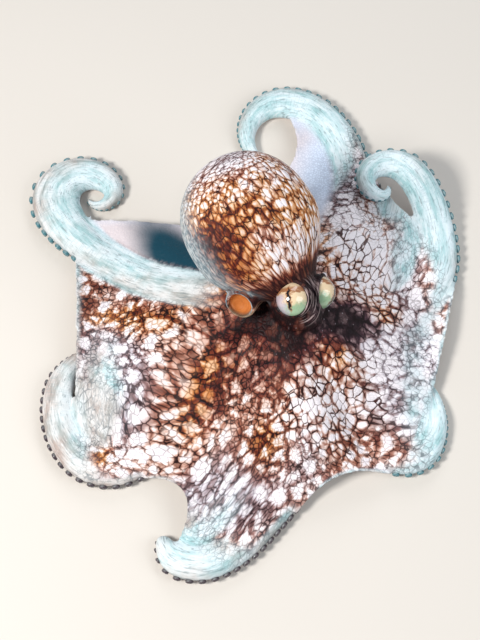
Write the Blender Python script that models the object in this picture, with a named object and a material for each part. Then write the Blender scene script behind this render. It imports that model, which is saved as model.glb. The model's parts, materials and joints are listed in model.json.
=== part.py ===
"""Octopus spread out on a flat floor: one named object for each sub-part, in metres, +Z up.

The animal faces -Y. Lengths in the tables are millimetres and angles are degrees. The plan is
laid out round the crown, the ring where the arms leave the head, and moved at the end so that
the origin is the middle of the box's floor.
"""
import math
from collections import namedtuple

import bmesh
import bpy
import numpy as np
from mathutils import Matrix, Vector

MM = 0.001

# Crown, the ring the arms start from
CROWN_RADIUS = 20.6
CROWN_TOP = 47.0
CROWN_BOTTOM = 35.0
ARM_START = 21.0
ARM_ROOT_Z = 41.5

# Arms
ARM_SIDES = 8
STATION_STEP = 12.0
STATION_TURN = 23.0
FINE_STEP = 0.5
EASE_LENGTH = 9.0
ARM_GAP = 0.3
SIDE_ROUND = 0.9
FOOT_SINK = 0.84

# Webs
WEB_THICKNESS = 2.0
WEB_GAP = 0.6
WEB_HEIGHT = 0.3
WEB_COLUMNS = 5
WEB_RELAX = 30

# Head, eyes, funnel, mantle and beak
EYE_RADIUS = 8.2
SOCKET_GAP = 0.3
LID_WALL = 1.9
LID_OPENING = 7.6
MANTLE_CENTRE = (-19.3, 30.4, 74.5)
MANTLE_AZIMUTH = 128.0
MANTLE_RISE = 26.0
MANTLE_HALF_LENGTH = 38.0
MANTLE_HALF_WIDTH = 33.8
MANTLE_HALF_DEPTH = 22.5
MANTLE_FRONT = -0.86
MANTLE_TAPER = 0.16
FUNNEL_ROOT = (-11.0, 7.0, 53.5)
FUNNEL_MOUTH = (-27.0, -4.6, 60.0)
FUNNEL_RADII = (8.2, 7.2)
FUNNEL_BORE = 5.2
FUNNEL_BORE_DEPTH = 9.0
BEAK_RADIUS = 3.2
BEAK_LENGTH = 8.0

Arm = namedtuple("Arm", "azimuth steps widths landing lift cuts")
Web = namedtuple("Web", "first first_end second second_end start sag raise_mid")
Eye = namedtuple("Eye", "centre axis")

# Each arm leaves the crown at its azimuth, then runs through arcs of (length, turn to the left).
# widths are half widths at the ends of the arcs, landing is how far out it comes down to the
# floor, lift raises the tip by (height, from, to) along the arm, and cuts part it into nodes.
ARMS = {
    "arm_l1": Arm(320, ((9, -13), (43, -14), (8, 25), (25, 96), (42, 68)),
                  (5.8, 6.9, 8.3, 8.3, 7.8, 1.2), 72, (0, 0, 1), (40, 80)),
    "arm_l2": Arm(8, ((9, -9), (51, 53), (18, 25), (55, 63), (19, 65), (24, 145), (11, 141)),
                  (5.8, 6.9, 10.5, 11.3, 10.0, 7.5, 4.0, 1.0), 82, (21, 90, 136), (58, 108, 146)),
    "arm_l3": Arm(53, ((9, 25), (14, -14), (42, 11), (63, 58), (23, 42), (51, 138), (10, 100)),
                  (5.8, 6.9, 8.5, 10.8, 10.8, 10.2, 3.4, 0.9), 115, (0, 0, 1), (50, 100, 147)),
    "arm_l4": Arm(90, ((9, -12), (9, 8), (38, 22), (19, 60), (16, 158)),
                  (5.8, 6.5, 6.8, 6.6, 4.7, 1.0), 76, (0, 0, 1), (34, 64)),
    "arm_r4": Arm(129, ((9, 23), (9, -33), (33, -4), (30, -48), (25, -231)),
                  (5.8, 6.5, 6.9, 7.5, 6.2, 0.9), 84, (0, 0, 1), (40, 76)),
    "arm_r3": Arm(166, ((9, -18), (9, 7), (76, -7), (35, -30), (15, -53), (36, -119), (27, -204)),
                  (5.8, 6.7, 7.9, 9.5, 13.7, 14.1, 7.2, 1.0), 100, (0, 0, 1), (55, 105, 150)),
    "arm_r2": Arm(222, ((9, -8), (47, 14), (27, -13), (35, -83), (42, -57), (25, -49)),
                  (5.8, 6.9, 8.8, 9.1, 9.1, 8.2, 2.4), 88, (0, 0, 1), (50, 98, 140)),
    "arm_r1": Arm(272, ((16, 21), (53, -64), (23, -1), (23, -23), (21, -52), (14, -66)),
                  (5.8, 8.1, 9.9, 9.9, 9.9, 9.4, 3.0), 92, (0, 0, 1), (50, 100)),
}

# A web joins the left side of its first arm to the right side of its second, out to the two
# ends. sag pulls the free edge in towards the crown and raise_mid lifts its middle.
WEBS = {
    "web_l2_l3": Web("arm_l2", 108, "arm_l3", 92, 0.3, 5.0, 4.0),
    "web_l3_l4": Web("arm_l3", 148, "arm_l4", 68, 7.0, 8.0, 5.0),
    "web_l4_r4": Web("arm_l4", 26, "arm_r4", 32, 7.0, 4.0, 4.0),
    "web_r4_r3": Web("arm_r4", 60, "arm_r3", 112, 7.0, 1.0, 5.0),
    "web_r3_r2": Web("arm_r3", 101, "arm_r2", 146, 0.3, 2.0, 9.0),
    "web_r2_r1": Web("arm_r2", 84, "arm_r1", 143, 0.3, 14.0, 9.0),
    "web_r1_l1": Web("arm_r1", 72, "arm_l1", 66, 0.3, 8.0, 9.0),
    "web_l1_l2": Web("arm_l1", 111, "arm_l2", 72, 0.3, 0.0, 6.0),
}

EYES = {
    "eye_right": Eye((-0.2, -3.6, 66.0), (-0.29, -0.36, 0.887)),
    "eye_left": Eye((12.8, 4.1, 56.0), (0.906, -0.158, 0.392)),
}

SKIN = ("skin", (0.46, 0.30, 0.20, 1.0), 0.55)
MANTLE_SKIN = ("mantle_skin", (0.55, 0.36, 0.22, 1.0), 0.55)
WEB_SKIN = ("web_skin", (0.70, 0.62, 0.56, 1.0), 0.5)
EYE_SURFACE = ("eye_surface", (0.78, 0.72, 0.55, 1.0), 0.15)
HORN = ("horn", (0.06, 0.04, 0.03, 1.0), 0.3)


def material(finish):
    """Returns the named material, made on first use."""
    name, colour, roughness = finish
    found = bpy.data.materials.get(name)
    if found:
        return found
    made = bpy.data.materials.new(name)
    made.use_nodes = True
    shader = made.node_tree.nodes["Principled BSDF"]
    shader.inputs["Base Color"].default_value = colour
    shader.inputs["Roughness"].default_value = roughness
    shader.inputs["Metallic"].default_value = 0.0
    return made


def add_object(name, points, faces, finish):
    """Makes one closed, outward-facing mesh from points in millimetres."""
    mesh = bpy.data.meshes.new(name)
    mesh.from_pydata([tuple(MM * float(c) for c in p) for p in points], [], faces)
    work = bmesh.new()
    work.from_mesh(mesh)
    bmesh.ops.recalc_face_normals(work, faces=work.faces)
    work.to_mesh(mesh)
    work.free()
    mesh.materials.append(material(finish))
    made = bpy.data.objects.new(name, mesh)
    bpy.context.scene.collection.objects.link(made)
    return made


def add_loft(name, rings, finish):
    """Skins a list of equal rings of points and caps both ends."""
    count = len(rings[0])
    points = [p for ring in rings for p in ring]
    faces = [tuple(range(count)), tuple(range(len(points) - count, len(points)))]
    for low in range(0, len(points) - count, count):
        for k in range(count):
            after = (k + 1) % count
            faces.append((low + k, low + after, low + count + after, low + count + k))
    return add_object(name, points, faces, finish)


def add_turned(name, base, axis, profile, sides, finish, flatten=1.0):
    """Turns a profile of (distance along the axis, radius); flatten squashes it from above."""
    along = Vector(axis).normalized()
    across = along.cross(Vector((0.0, 0.0, 1.0))).normalized()
    up = across.cross(along)
    start = Vector(base)
    rings = []
    for distance, radius in profile:
        middle = start + along * distance
        ring = []
        for k in range(sides):
            angle = 2.0 * math.pi * k / sides
            ring.append(middle + across * (radius * math.cos(angle))
                        + up * (flatten * radius * math.sin(angle)))
        rings.append(ring)
    return add_loft(name, rings, finish)


def add_ball(name, centre, radius, finish, sides=16, turns=8):
    """A ball built as a turned profile with small flat poles."""
    profile = []
    for k in range(turns + 1):
        angle = math.pi * (0.03 + 0.94 * k / turns)
        profile.append((-radius * math.cos(angle), radius * math.sin(angle)))
    return add_turned(name, centre, (0.0, 1.0, 0.2), profile, sides, finish)


def apply_boolean(target, tool, operation):
    """Applies one exact boolean and removes the tool."""
    tool.hide_render = True
    tool.display_type = "WIRE"
    step = target.modifiers.new("cut", "BOOLEAN")
    step.operation = operation
    step.solver = "EXACT"
    step.object = tool
    graph = bpy.context.evaluated_depsgraph_get()
    result = bpy.data.meshes.new_from_object(target.evaluated_get(graph))
    target.modifiers.clear()
    spent = target.data
    target.data = result
    result.name = target.name
    bpy.data.meshes.remove(spent)
    bpy.data.objects.remove(tool)


def eased(values, window):
    """Moving average over an odd window with the ends held."""
    pad = window // 2
    long = np.concatenate([np.full(pad, values[0]), values, np.full(pad, values[-1])])
    return np.convolve(long, np.full(window, 1.0 / window), mode="valid")


def smoothstep(low, high, x):
    """0 below low, 1 above high, eased between."""
    t = np.clip((x - low) / (high - low), 0.0, 1.0)
    return t * t * (3.0 - 2.0 * t)


def half_height(half_width):
    """How thick an arm is for its width."""
    return np.minimum(0.9 * half_width, 3.2 + 0.28 * half_width)


def arm_course(arm):
    """Samples an arm's centreline: columns s, x, y, z, heading, half width, half height."""
    ends = np.cumsum([0.0] + [length for length, _ in arm.steps])
    turns = np.cumsum([0.0] + [turn for _, turn in arm.steps])
    count = int(round(ends[-1] / FINE_STEP))
    s = np.linspace(0.0, ends[-1], count + 1)
    step = ends[-1] / count
    window = 2 * int(round(0.5 * EASE_LENGTH / step)) + 1
    heading = math.radians(arm.azimuth) + np.radians(np.interp(s, ends, turns))
    heading = eased(heading, window)
    widths = eased(np.interp(s, ends, arm.widths), window)
    widths[-window:] = np.interp(s[-window:], ends, arm.widths)
    middle = 0.5 * (heading[1:] + heading[:-1])
    start = math.radians(arm.azimuth)
    x = ARM_START * math.cos(start) + np.concatenate([[0.0], np.cumsum(step * np.cos(middle))])
    y = ARM_START * math.sin(start) + np.concatenate([[0.0], np.cumsum(step * np.sin(middle))])
    height = half_height(widths)
    out = np.maximum.accumulate(np.hypot(x, y))
    fall = np.clip((out - ARM_START) / (arm.landing - ARM_START), 0.0, 1.0)
    drape = 0.5 * (1.0 + np.cos(math.pi * fall ** 0.9))
    z = FOOT_SINK * height * (1.0 - drape) + ARM_ROOT_Z * drape
    rise, low, high = arm.lift
    z = z + rise * smoothstep(low, high, s)
    return np.column_stack([s, x, y, z, heading, widths, height])


def sample(course, s):
    """One row of a course, at the length s."""
    return np.array([np.interp(s, course[:, 0], column) for column in course.T])


def stations(course, low, high, step, turn):
    """Lengths from low to high, closer together where the course bends."""
    inside = (course[:, 0] > low) & (course[:, 0] < high)
    s = np.concatenate([[low], course[inside, 0], [high]])
    heading = np.interp(s, course[:, 0], course[:, 4])
    cost = np.diff(s) / step + np.abs(np.diff(heading)) / math.radians(turn)
    total = np.concatenate([[0.0], np.cumsum(cost)])
    return s, total


def spaced(course, low, high, count=None):
    """Evenly costed lengths along a stretch of a course."""
    s, total = stations(course, low, high, STATION_STEP, STATION_TURN)
    if count is None:
        count = max(1, int(math.ceil(total[-1])))
    return np.interp(np.linspace(0.0, total[-1], count + 1), total, s)


def arm_ring(row):
    """Section of an arm: rounded, wider than high, flat where it meets the floor."""
    _, x, y, z, heading, width, height = row
    left = np.array([-math.sin(heading), math.cos(heading), 0.0])
    ring = []
    for k in range(ARM_SIDES):
        angle = 2.0 * math.pi * (k + 0.5) / ARM_SIDES
        c, t = math.cos(angle), math.sin(angle)
        side = math.copysign(abs(c) ** SIDE_ROUND, c) / math.cos(math.pi / ARM_SIDES)
        point = np.array([x, y, z]) + left * (side * width)
        point[2] = max(0.0, point[2] + t * height * 1.06)
        ring.append(point)
    return ring


def build_arm(name, arm):
    """The lengths of one arm, parted by narrow gaps."""
    course = arm_course(arm)
    bounds = [0.0] + list(arm.cuts) + [course[-1, 0]]
    labels = ("base", "middle", "curl", "tip") if len(bounds) == 5 else ("base", "middle", "tip")
    for label, low, high in zip(labels, bounds[:-1], bounds[1:]):
        low = low + 0.5 * ARM_GAP
        high = high - 0.5 * ARM_GAP
        rings = [arm_ring(sample(course, s)) for s in spaced(course, low, high)]
        add_loft(name + "_" + label, rings, SKIN)


def web_side(course, lengths, side):
    """The line a web follows along one side (+1 left, -1 right) of an arm."""
    line = []
    for s in lengths:
        _, x, y, z, heading, width, height = sample(course, s)
        reach = side * (width + WEB_GAP)
        line.append((x - reach * math.sin(heading), y + reach * math.cos(heading),
                     max(z + WEB_HEIGHT * height, 0.6 * WEB_THICKNESS + 1.0)))
    return np.array(line)


def web_grid(web, courses):
    """Middle surface of a web, as rows outwards by columns across."""
    first, second = courses[web.first], courses[web.second]
    costs = [stations(first, web.start, web.first_end, STATION_STEP, STATION_TURN)[1][-1],
             stations(second, web.start, web.second_end, STATION_STEP, STATION_TURN)[1][-1]]
    rows = int(math.ceil(max(costs)))
    left = web_side(first, spaced(first, web.start, web.first_end, rows), 1.0)
    right = web_side(second, spaced(second, web.start, web.second_end, rows), -1.0)
    u = np.linspace(0.0, 1.0, WEB_COLUMNS + 1)[:, None]
    v = np.linspace(0.0, 1.0, rows + 1)
    if web.start < 1.0:
        for corner in (left[0], right[0]):
            corner[:2] *= (CROWN_RADIUS + 0.5) / np.hypot(corner[0], corner[1])
    inner = left[0] + (right[0] - left[0]) * u
    outer = left[-1] + (right[-1] - left[-1]) * u
    chord = right[-1] - left[-1]
    pull = np.array([-chord[1], chord[0], 0.0]) / np.hypot(chord[0], chord[1])
    bow = 4.0 * u * (1.0 - u)
    outer = outer + bow * (pull * web.sag + np.array([0.0, 0.0, web.raise_mid]))
    grid = np.zeros((rows + 1, WEB_COLUMNS + 1, 3))
    for i, t in enumerate(v):
        across = left[i] * (1.0 - u) + right[i] * u
        along = inner * (1.0 - t) + outer * t
        corners = ((left[0] * (1.0 - u) + right[0] * u) * (1.0 - t)
                   + (left[-1] * (1.0 - u) + right[-1] * u) * t)
        grid[i] = across + along - corners
    for _ in range(WEB_RELAX):
        grid[1:-1, 1:-1] = 0.25 * (grid[2:, 1:-1] + grid[:-2, 1:-1]
                                   + grid[1:-1, 2:] + grid[1:-1, :-2])
    return grid


def build_web(name, web, courses):
    """A thin sheet between two arms."""
    grid = web_grid(web, courses)
    rows, columns = grid.shape[:2]
    half = np.array([0.0, 0.0, 0.5 * WEB_THICKNESS])
    points = [p for p in (grid + half).reshape(-1, 3)] + [p for p in (grid - half).reshape(-1, 3)]
    under = rows * columns
    faces = []
    for i in range(rows - 1):
        for j in range(columns - 1):
            a = i * columns + j
            faces.append((a, a + 1, a + columns + 1, a + columns))
            faces.append((under + a, under + a + columns, under + a + columns + 1, under + a + 1))
    rim = [j for j in range(columns)]
    rim += [i * columns + columns - 1 for i in range(1, rows)]
    rim += [(rows - 1) * columns + j for j in range(columns - 2, -1, -1)]
    rim += [i * columns for i in range(rows - 2, 0, -1)]
    for a, b in zip(rim, rim[1:] + rim[:1]):
        faces.append((a, under + a, under + b, b))
    add_object(name, points, faces, WEB_SKIN)


def mantle_axis():
    """Unit vector from the neck to the tip of the mantle."""
    azimuth, rise = math.radians(MANTLE_AZIMUTH), math.radians(MANTLE_RISE)
    return Vector((math.cos(rise) * math.cos(azimuth), math.cos(rise) * math.sin(azimuth),
                   math.sin(rise)))


def add_mantle(name, swell):
    """The bag of the mantle, egg-shaped, with a flat front; swell moves its surface out."""
    profile = []
    for k in range(11):
        t = MANTLE_FRONT + (0.985 - MANTLE_FRONT) * math.sin(0.5 * math.pi * k / 10)
        radius = MANTLE_HALF_WIDTH * (1.0 - abs(t) ** 2.3) ** 0.5
        radius *= 1.0 - MANTLE_TAPER * smoothstep(-0.15, MANTLE_FRONT, t)
        profile.append((t * MANTLE_HALF_LENGTH + (swell if k else -swell), radius + swell))
    return add_turned(name, MANTLE_CENTRE, mantle_axis(), profile, 20, MANTLE_SKIN,
                      MANTLE_HALF_DEPTH / MANTLE_HALF_WIDTH)


def build_head():
    """Head, mantle, funnel, eyes and beak, cut so that no two share space."""
    head = add_turned("head", (0.0, 0.0, CROWN_BOTTOM), (0.0, 0.001, 1.0),
                      ((0.0, CROWN_RADIUS - 3.0), (3.0, CROWN_RADIUS), (9.0, CROWN_RADIUS),
                       (CROWN_TOP - CROWN_BOTTOM, CROWN_RADIUS - 3.5), (17.0, 13.0),
                       (22.0, 12.0)), 24, SKIN)
    apply_boolean(head, add_turned("bulb", (4.0, 0.5, 42.0), (0.05, 0.0, 1.0),
                                   ((0.0, 12.0), (7.0, 15.5), (14.0, 15.5), (20.0, 12.5),
                                    (25.0, 7.0)), 16, SKIN), "UNION")
    back = mantle_axis()
    neck_end = Vector(MANTLE_CENTRE) + back * (MANTLE_FRONT * MANTLE_HALF_LENGTH - 0.3)
    neck_start = Vector((4.0, 0.0, 54.0))
    run = neck_end - neck_start
    apply_boolean(head, add_turned("neck", neck_start, run,
                                   ((0.0, 13.0), (run.length, 13.0)), 16, SKIN), "UNION")
    apply_boolean(head, add_mantle("mantle_room", 0.3), "DIFFERENCE")
    mantle = add_mantle("mantle", 0.0)
    turret = EYE_RADIUS + SOCKET_GAP + LID_WALL
    for name, eye in EYES.items():
        centre, axis = Vector(eye.centre), Vector(eye.axis).normalized()
        apply_boolean(mantle, add_ball("room", centre, turret + 0.5, SKIN), "DIFFERENCE")
        apply_boolean(head, add_ball("turret", centre, turret, SKIN), "UNION")
    for name, eye in EYES.items():
        centre, axis = Vector(eye.centre), Vector(eye.axis).normalized()
        apply_boolean(head, add_ball("socket", centre, EYE_RADIUS + SOCKET_GAP, SKIN),
                      "DIFFERENCE")
        apply_boolean(head, add_turned("opening", centre + axis * 2.0, axis,
                                       ((0.0, LID_OPENING - 1.0), (14.0, LID_OPENING + 3.0)),
                                       16, SKIN), "DIFFERENCE")
        add_ball(name, centre, EYE_RADIUS, EYE_SURFACE)
    root, mouth = Vector(FUNNEL_ROOT), Vector(FUNNEL_MOUTH)
    run = mouth - root
    funnel = add_turned("funnel", root, run, ((0.0, FUNNEL_RADII[0]),
                                              (run.length, FUNNEL_RADII[1])), 16, SKIN)
    bore = add_turned("bore", mouth - run.normalized() * FUNNEL_BORE_DEPTH, run,
                      ((0.0, FUNNEL_BORE - 1.2), (FUNNEL_BORE_DEPTH + 2.0, FUNNEL_BORE)), 16, SKIN)
    apply_boolean(funnel, bore, "DIFFERENCE")
    apply_boolean(funnel, add_mantle("mantle_room", 0.3), "DIFFERENCE")
    apply_boolean(head, add_turned("funnel_room", root - run.normalized() * 0.3, run,
                                   ((0.0, FUNNEL_RADII[0] + 0.3), (run.length, FUNNEL_RADII[1])),
                                   16, SKIN), "DIFFERENCE")
    apply_boolean(head, add_turned("mouth", (0.0, 0.0, CROWN_BOTTOM - 2.0), (0.0, 0.001, 1.0),
                                   ((0.0, BEAK_RADIUS + 1.2), (BEAK_LENGTH + 0.6, 2.4)), 16, SKIN),
                  "DIFFERENCE")
    add_turned("beak", (0.0, 0.0, CROWN_BOTTOM - 1.0), (0.0, 0.001, 1.0),
               ((0.0, 1.0), (2.0, 2.6), (4.0, 2.6), (BEAK_LENGTH - 1.5, 1.6)), 12, HORN)


def centre_on_floor():
    """Moves every mesh so that the box's floor is centred on the origin."""
    meshes = [o.data for o in bpy.data.objects if o.type == "MESH"]
    corners = np.array([v.co for mesh in meshes for v in mesh.vertices])
    low, high = corners.min(axis=0), corners.max(axis=0)
    shift = Matrix.Translation((-0.5 * (low[0] + high[0]), -0.5 * (low[1] + high[1]), -low[2]))
    for mesh in meshes:
        mesh.transform(shift)


def build():
    """Builds every sub-part."""
    for old in list(bpy.data.objects):
        bpy.data.objects.remove(old)
    courses = {}
    for name, arm in ARMS.items():
        courses[name] = arm_course(arm)
        build_arm(name, arm)
    for name, web in WEBS.items():
        build_web(name, web, courses)
    build_head()
    centre_on_floor()


build()
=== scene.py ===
"""Octopus spread on a pale floor: its skin, eyes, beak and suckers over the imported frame.

Sizes are millimetres round the crown, the ring where the arms leave the head, unless a name says
otherwise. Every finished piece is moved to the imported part's own frame, in metres.
"""
from __future__ import annotations

import json
import logging
import math
from dataclasses import dataclass, field
from enum import Enum
from typing import Callable, Iterable, Optional

import bmesh
import bpy
import numpy as np
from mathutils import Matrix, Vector, kdtree

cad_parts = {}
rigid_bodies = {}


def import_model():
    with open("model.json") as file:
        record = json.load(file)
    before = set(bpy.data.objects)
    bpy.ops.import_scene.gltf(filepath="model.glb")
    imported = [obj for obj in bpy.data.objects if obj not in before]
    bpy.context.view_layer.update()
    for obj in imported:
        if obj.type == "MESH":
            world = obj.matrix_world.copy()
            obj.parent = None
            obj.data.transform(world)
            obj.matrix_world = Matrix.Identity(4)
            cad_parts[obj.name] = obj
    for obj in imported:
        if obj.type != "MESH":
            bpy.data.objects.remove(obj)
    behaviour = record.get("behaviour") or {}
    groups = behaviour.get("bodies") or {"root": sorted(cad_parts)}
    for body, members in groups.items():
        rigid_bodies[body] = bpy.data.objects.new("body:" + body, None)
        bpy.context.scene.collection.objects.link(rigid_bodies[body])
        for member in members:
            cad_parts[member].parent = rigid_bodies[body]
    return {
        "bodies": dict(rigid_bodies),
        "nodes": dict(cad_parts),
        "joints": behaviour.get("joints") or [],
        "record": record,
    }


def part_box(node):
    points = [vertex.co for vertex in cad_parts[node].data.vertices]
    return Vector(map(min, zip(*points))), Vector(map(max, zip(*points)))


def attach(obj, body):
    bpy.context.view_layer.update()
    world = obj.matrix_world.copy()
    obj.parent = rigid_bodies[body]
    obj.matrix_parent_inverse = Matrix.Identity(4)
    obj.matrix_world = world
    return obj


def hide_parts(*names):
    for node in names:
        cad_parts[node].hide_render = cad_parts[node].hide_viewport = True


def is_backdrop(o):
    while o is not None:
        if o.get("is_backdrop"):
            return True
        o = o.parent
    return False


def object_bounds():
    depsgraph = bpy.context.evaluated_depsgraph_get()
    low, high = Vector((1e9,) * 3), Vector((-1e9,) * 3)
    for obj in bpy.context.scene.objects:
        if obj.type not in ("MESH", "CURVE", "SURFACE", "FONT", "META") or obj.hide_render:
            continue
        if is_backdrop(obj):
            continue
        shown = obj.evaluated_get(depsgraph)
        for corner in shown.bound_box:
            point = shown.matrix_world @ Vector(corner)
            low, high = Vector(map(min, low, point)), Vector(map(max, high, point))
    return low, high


MM = 0.001
LOG = logging.getLogger("octopus")
Colour = tuple[float, float, float, float]
Socket = bpy.types.NodeSocket


def tone(red: int, green: int, blue: int) -> Colour:
    """Turns a display colour, 0 to 255, into a linear one.

    Args:
        red: Red.
        green: Green.
        blue: Blue.

    Returns:
        The linear colour with full opacity.
    """
    linear = []
    for level in (red, green, blue):
        value = level / 255.0
        linear.append(value / 12.92 if value <= 0.04045 else ((value + 0.055) / 1.055) ** 2.4)
    return (linear[0], linear[1], linear[2], 1.0)


def ease(low: float, high: float, value: np.ndarray) -> np.ndarray:
    """Returns 0 below low and 1 above high, eased between."""
    t = np.clip((value - low) / (high - low), 0.0, 1.0)
    return t * t * (3.0 - 2.0 * t)


def moving_mean(values: np.ndarray, window: int) -> np.ndarray:
    """Averages over an odd window, with the ends held."""
    pad = window // 2
    held = np.concatenate([np.full(pad, values[0]), values, np.full(pad, values[-1])])
    return np.convolve(held, np.full(window, 1.0 / window), mode="valid")


def unit(vector: Iterable[float]) -> np.ndarray:
    """Returns the vector at length one."""
    array = np.array(list(vector), float)
    return array / np.linalg.norm(array)


class Side(Enum):
    """Which way an arm coils, seen from above, as the sign of its turn."""

    LEFT = 1.0
    RIGHT = -1.0


@dataclass(frozen=True)
class ArmPlan:
    """One arm: its course on the ground, its size and how its colour changes along it.

    Attributes:
        azimuth: Direction in which it leaves the crown, in degrees.
        steps: Arcs of (length, turn to the left in degrees).
        widths: Half widths at the ends of the arcs.
        landing: Distance from the crown at which it comes down to the floor.
        coil: Which way its tip coils.
        lift: Height that its tip gains, and the stretch over which it does.
        pale_from: Length along the arm where it turns pale.
        skew: How much sooner the sucker side turns pale, in millimetres.
        warmth: 0 for a turquoise arm, 1 for a cream one.
        sucker_tint: 0 for dark grey suckers, 1 for blue ones.
        spill: How far its paleness runs over the webs beside it, as a share of their width.
    """

    azimuth: float
    steps: tuple[tuple[float, float], ...]
    widths: tuple[float, ...]
    landing: float
    coil: Side
    lift: tuple[float, float, float] = (0.0, 0.0, 1.0)
    pale_from: float = 90.0
    skew: float = 12.0
    warmth: float = 0.3
    sucker_tint: float = 0.5
    spill: float = 0.5

    START: float = field(default=21.0, init=False)
    ROOT_HEIGHT: float = field(default=41.5, init=False)
    SINK: float = field(default=0.84, init=False)

    def course(self) -> np.ndarray:
        """Samples the centreline.

        Returns:
            Rows of s, x, y, z, heading, half width and half height.
        """
        ends = np.cumsum([0.0] + [length for length, _ in self.steps])
        turns = np.cumsum([0.0] + [turn for _, turn in self.steps])
        count = int(round(ends[-1] / 0.5))
        s = np.linspace(0.0, ends[-1], count + 1)
        step = ends[-1] / count
        window = 2 * int(round(4.5 / step)) + 1
        start = math.radians(self.azimuth)
        heading = moving_mean(start + np.radians(np.interp(s, ends, turns)), window)
        width = moving_mean(np.interp(s, ends, self.widths), window)
        width[-window:] = np.interp(s[-window:], ends, self.widths)
        middle = 0.5 * (heading[1:] + heading[:-1])
        x = self.START * math.cos(start) + np.append(0.0, np.cumsum(step * np.cos(middle)))
        y = self.START * math.sin(start) + np.append(0.0, np.cumsum(step * np.sin(middle)))
        height = np.minimum(0.9 * width, 3.2 + 0.28 * width)
        reach = np.maximum.accumulate(np.hypot(x, y))
        fall = np.clip((reach - self.START) / (self.landing - self.START), 0.0, 1.0)
        drape = 0.5 * (1.0 + np.cos(math.pi * fall ** 0.9))
        z = self.SINK * height * (1.0 - drape) + self.ROOT_HEIGHT * drape
        rise, low, high = self.lift
        z = z + rise * ease(low, high, s)
        return np.column_stack([s, x, y, z, heading, width, height])


@dataclass(frozen=True)
class WebPlan:
    """One web, from the left side of its first arm to the right side of its second.

    Attributes:
        first: Name of the first arm.
        first_end: Where it leaves the first arm.
        second: Name of the second arm.
        second_end: Where it leaves the second arm.
        sag: How far the free edge is pulled in.
        bow: How far the middle of the free edge is raised.
        plain: How smooth and free of net it is, 0 to 1.
    """

    first: str
    first_end: float
    second: str
    second_end: float
    sag: float
    bow: float
    plain: float = 0.0


@dataclass(frozen=True)
class Pull:
    """A place where the markings are drawn out in one direction.

    Attributes:
        place: Its middle, from the crown.
        size: How far it reaches.
        turn: The direction, in degrees.
        longer: Share by which the net is slowed along it.
        closer: Share by which the net is crowded across it.
    """

    place: tuple[float, float]
    size: float
    turn: float
    longer: float
    closer: float = 0.0

    def shift(self, points: np.ndarray) -> np.ndarray:
        """Returns how far each point's place on the net moves."""
        along = np.array([math.cos(math.radians(self.turn)), math.sin(math.radians(self.turn))])
        across = np.array([-along[1], along[0]])
        away = points[:, :2] - np.array(self.place)
        near = np.exp(-(away ** 2).sum(axis=1) / self.size ** 2)
        return ((self.closer * near * (away @ across))[:, None] * across
                - (self.longer * near * (away @ along))[:, None] * along)


@dataclass(frozen=True)
class EyePlan:
    """One eye: its centre and the direction it looks in."""

    node: str
    centre: tuple[float, float, float]
    axis: tuple[float, float, float]


ARMS: dict[str, ArmPlan] = {
    "arm_l1": ArmPlan(320, ((9, -13), (43, -14), (8, 25), (25, 96), (42, 68)),
                      (5.8, 6.9, 8.3, 8.3, 7.8, 1.2), 72, Side.LEFT,
                      pale_from=70.0, skew=6.0, warmth=0.1, sucker_tint=0.75),
    "arm_l2": ArmPlan(8, ((9, -9), (51, 53), (18, 25), (55, 63), (19, 65), (24, 145), (11, 141)),
                      (5.8, 6.9, 10.5, 11.3, 10.0, 7.5, 4.0, 1.0), 82, Side.LEFT,
                      (21, 90, 136), pale_from=62.0, skew=22.0, warmth=0.2, sucker_tint=0.9),
    "arm_l3": ArmPlan(53, ((9, 25), (14, -14), (42, 11), (63, 58), (23, 42), (51, 138), (10, 100)),
                      (5.8, 6.9, 8.5, 10.8, 10.8, 10.2, 3.4, 0.9), 115, Side.LEFT,
                      pale_from=84.0, skew=-22.0, warmth=0.3, sucker_tint=0.9),
    "arm_l4": ArmPlan(90, ((9, -12), (9, 8), (38, 22), (19, 60), (16, 158)),
                      (5.8, 6.5, 6.8, 6.6, 4.7, 1.0), 76, Side.LEFT, pale_from=44.0),
    "arm_r4": ArmPlan(129, ((9, 23), (9, -33), (33, -4), (30, -48), (25, -231)),
                      (5.8, 6.5, 6.9, 7.5, 6.2, 0.9), 84, Side.RIGHT, pale_from=46.0),
    "arm_r3": ArmPlan(166, ((9, -18), (9, 7), (76, -7), (35, -30), (15, -53), (36, -119),
                            (27, -204)),
                      (5.8, 6.7, 7.9, 9.5, 13.7, 14.1, 7.2, 1.0), 100, Side.RIGHT,
                      pale_from=14.0, skew=0.0, warmth=0.4, sucker_tint=0.7, spill=0.07),
    "arm_r2": ArmPlan(222, ((9, -8), (47, 14), (27, -13), (35, -83), (42, -57), (25, -49)),
                      (5.8, 6.9, 8.8, 9.1, 9.1, 8.2, 2.4), 88, Side.RIGHT,
                      pale_from=98.0, skew=10.0, warmth=0.6, sucker_tint=0.1),
    "arm_r1": ArmPlan(272, ((16, 21), (53, -64), (23, -1), (23, -23), (21, -52), (14, -66)),
                      (5.8, 8.1, 9.9, 9.9, 9.9, 9.4, 3.0), 92, Side.RIGHT,
                      pale_from=98.0, skew=8.0, warmth=0.3, sucker_tint=0.1),
}
BARE_ARM = "arm_r3"  # the arm that has no net where it is pale

WEBS: tuple[WebPlan, ...] = (
    WebPlan("arm_l2", 108, "arm_l3", 92, 5.0, 4.0),
    WebPlan("arm_l3", 148, "arm_l4", 68, 8.0, 5.0, plain=1.0),
    WebPlan("arm_l4", 26, "arm_r4", 32, 4.0, 4.0, plain=0.8),
    WebPlan("arm_r4", 60, "arm_r3", 112, 1.0, 5.0, plain=1.0),
    WebPlan("arm_r3", 101, "arm_r2", 146, 2.0, 9.0),
    WebPlan("arm_r2", 84, "arm_r1", 143, 14.0, 9.0),
    WebPlan("arm_r1", 72, "arm_l1", 66, 8.0, 9.0),
    WebPlan("arm_l1", 111, "arm_l2", 72, 0.0, 6.0),
)

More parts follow.
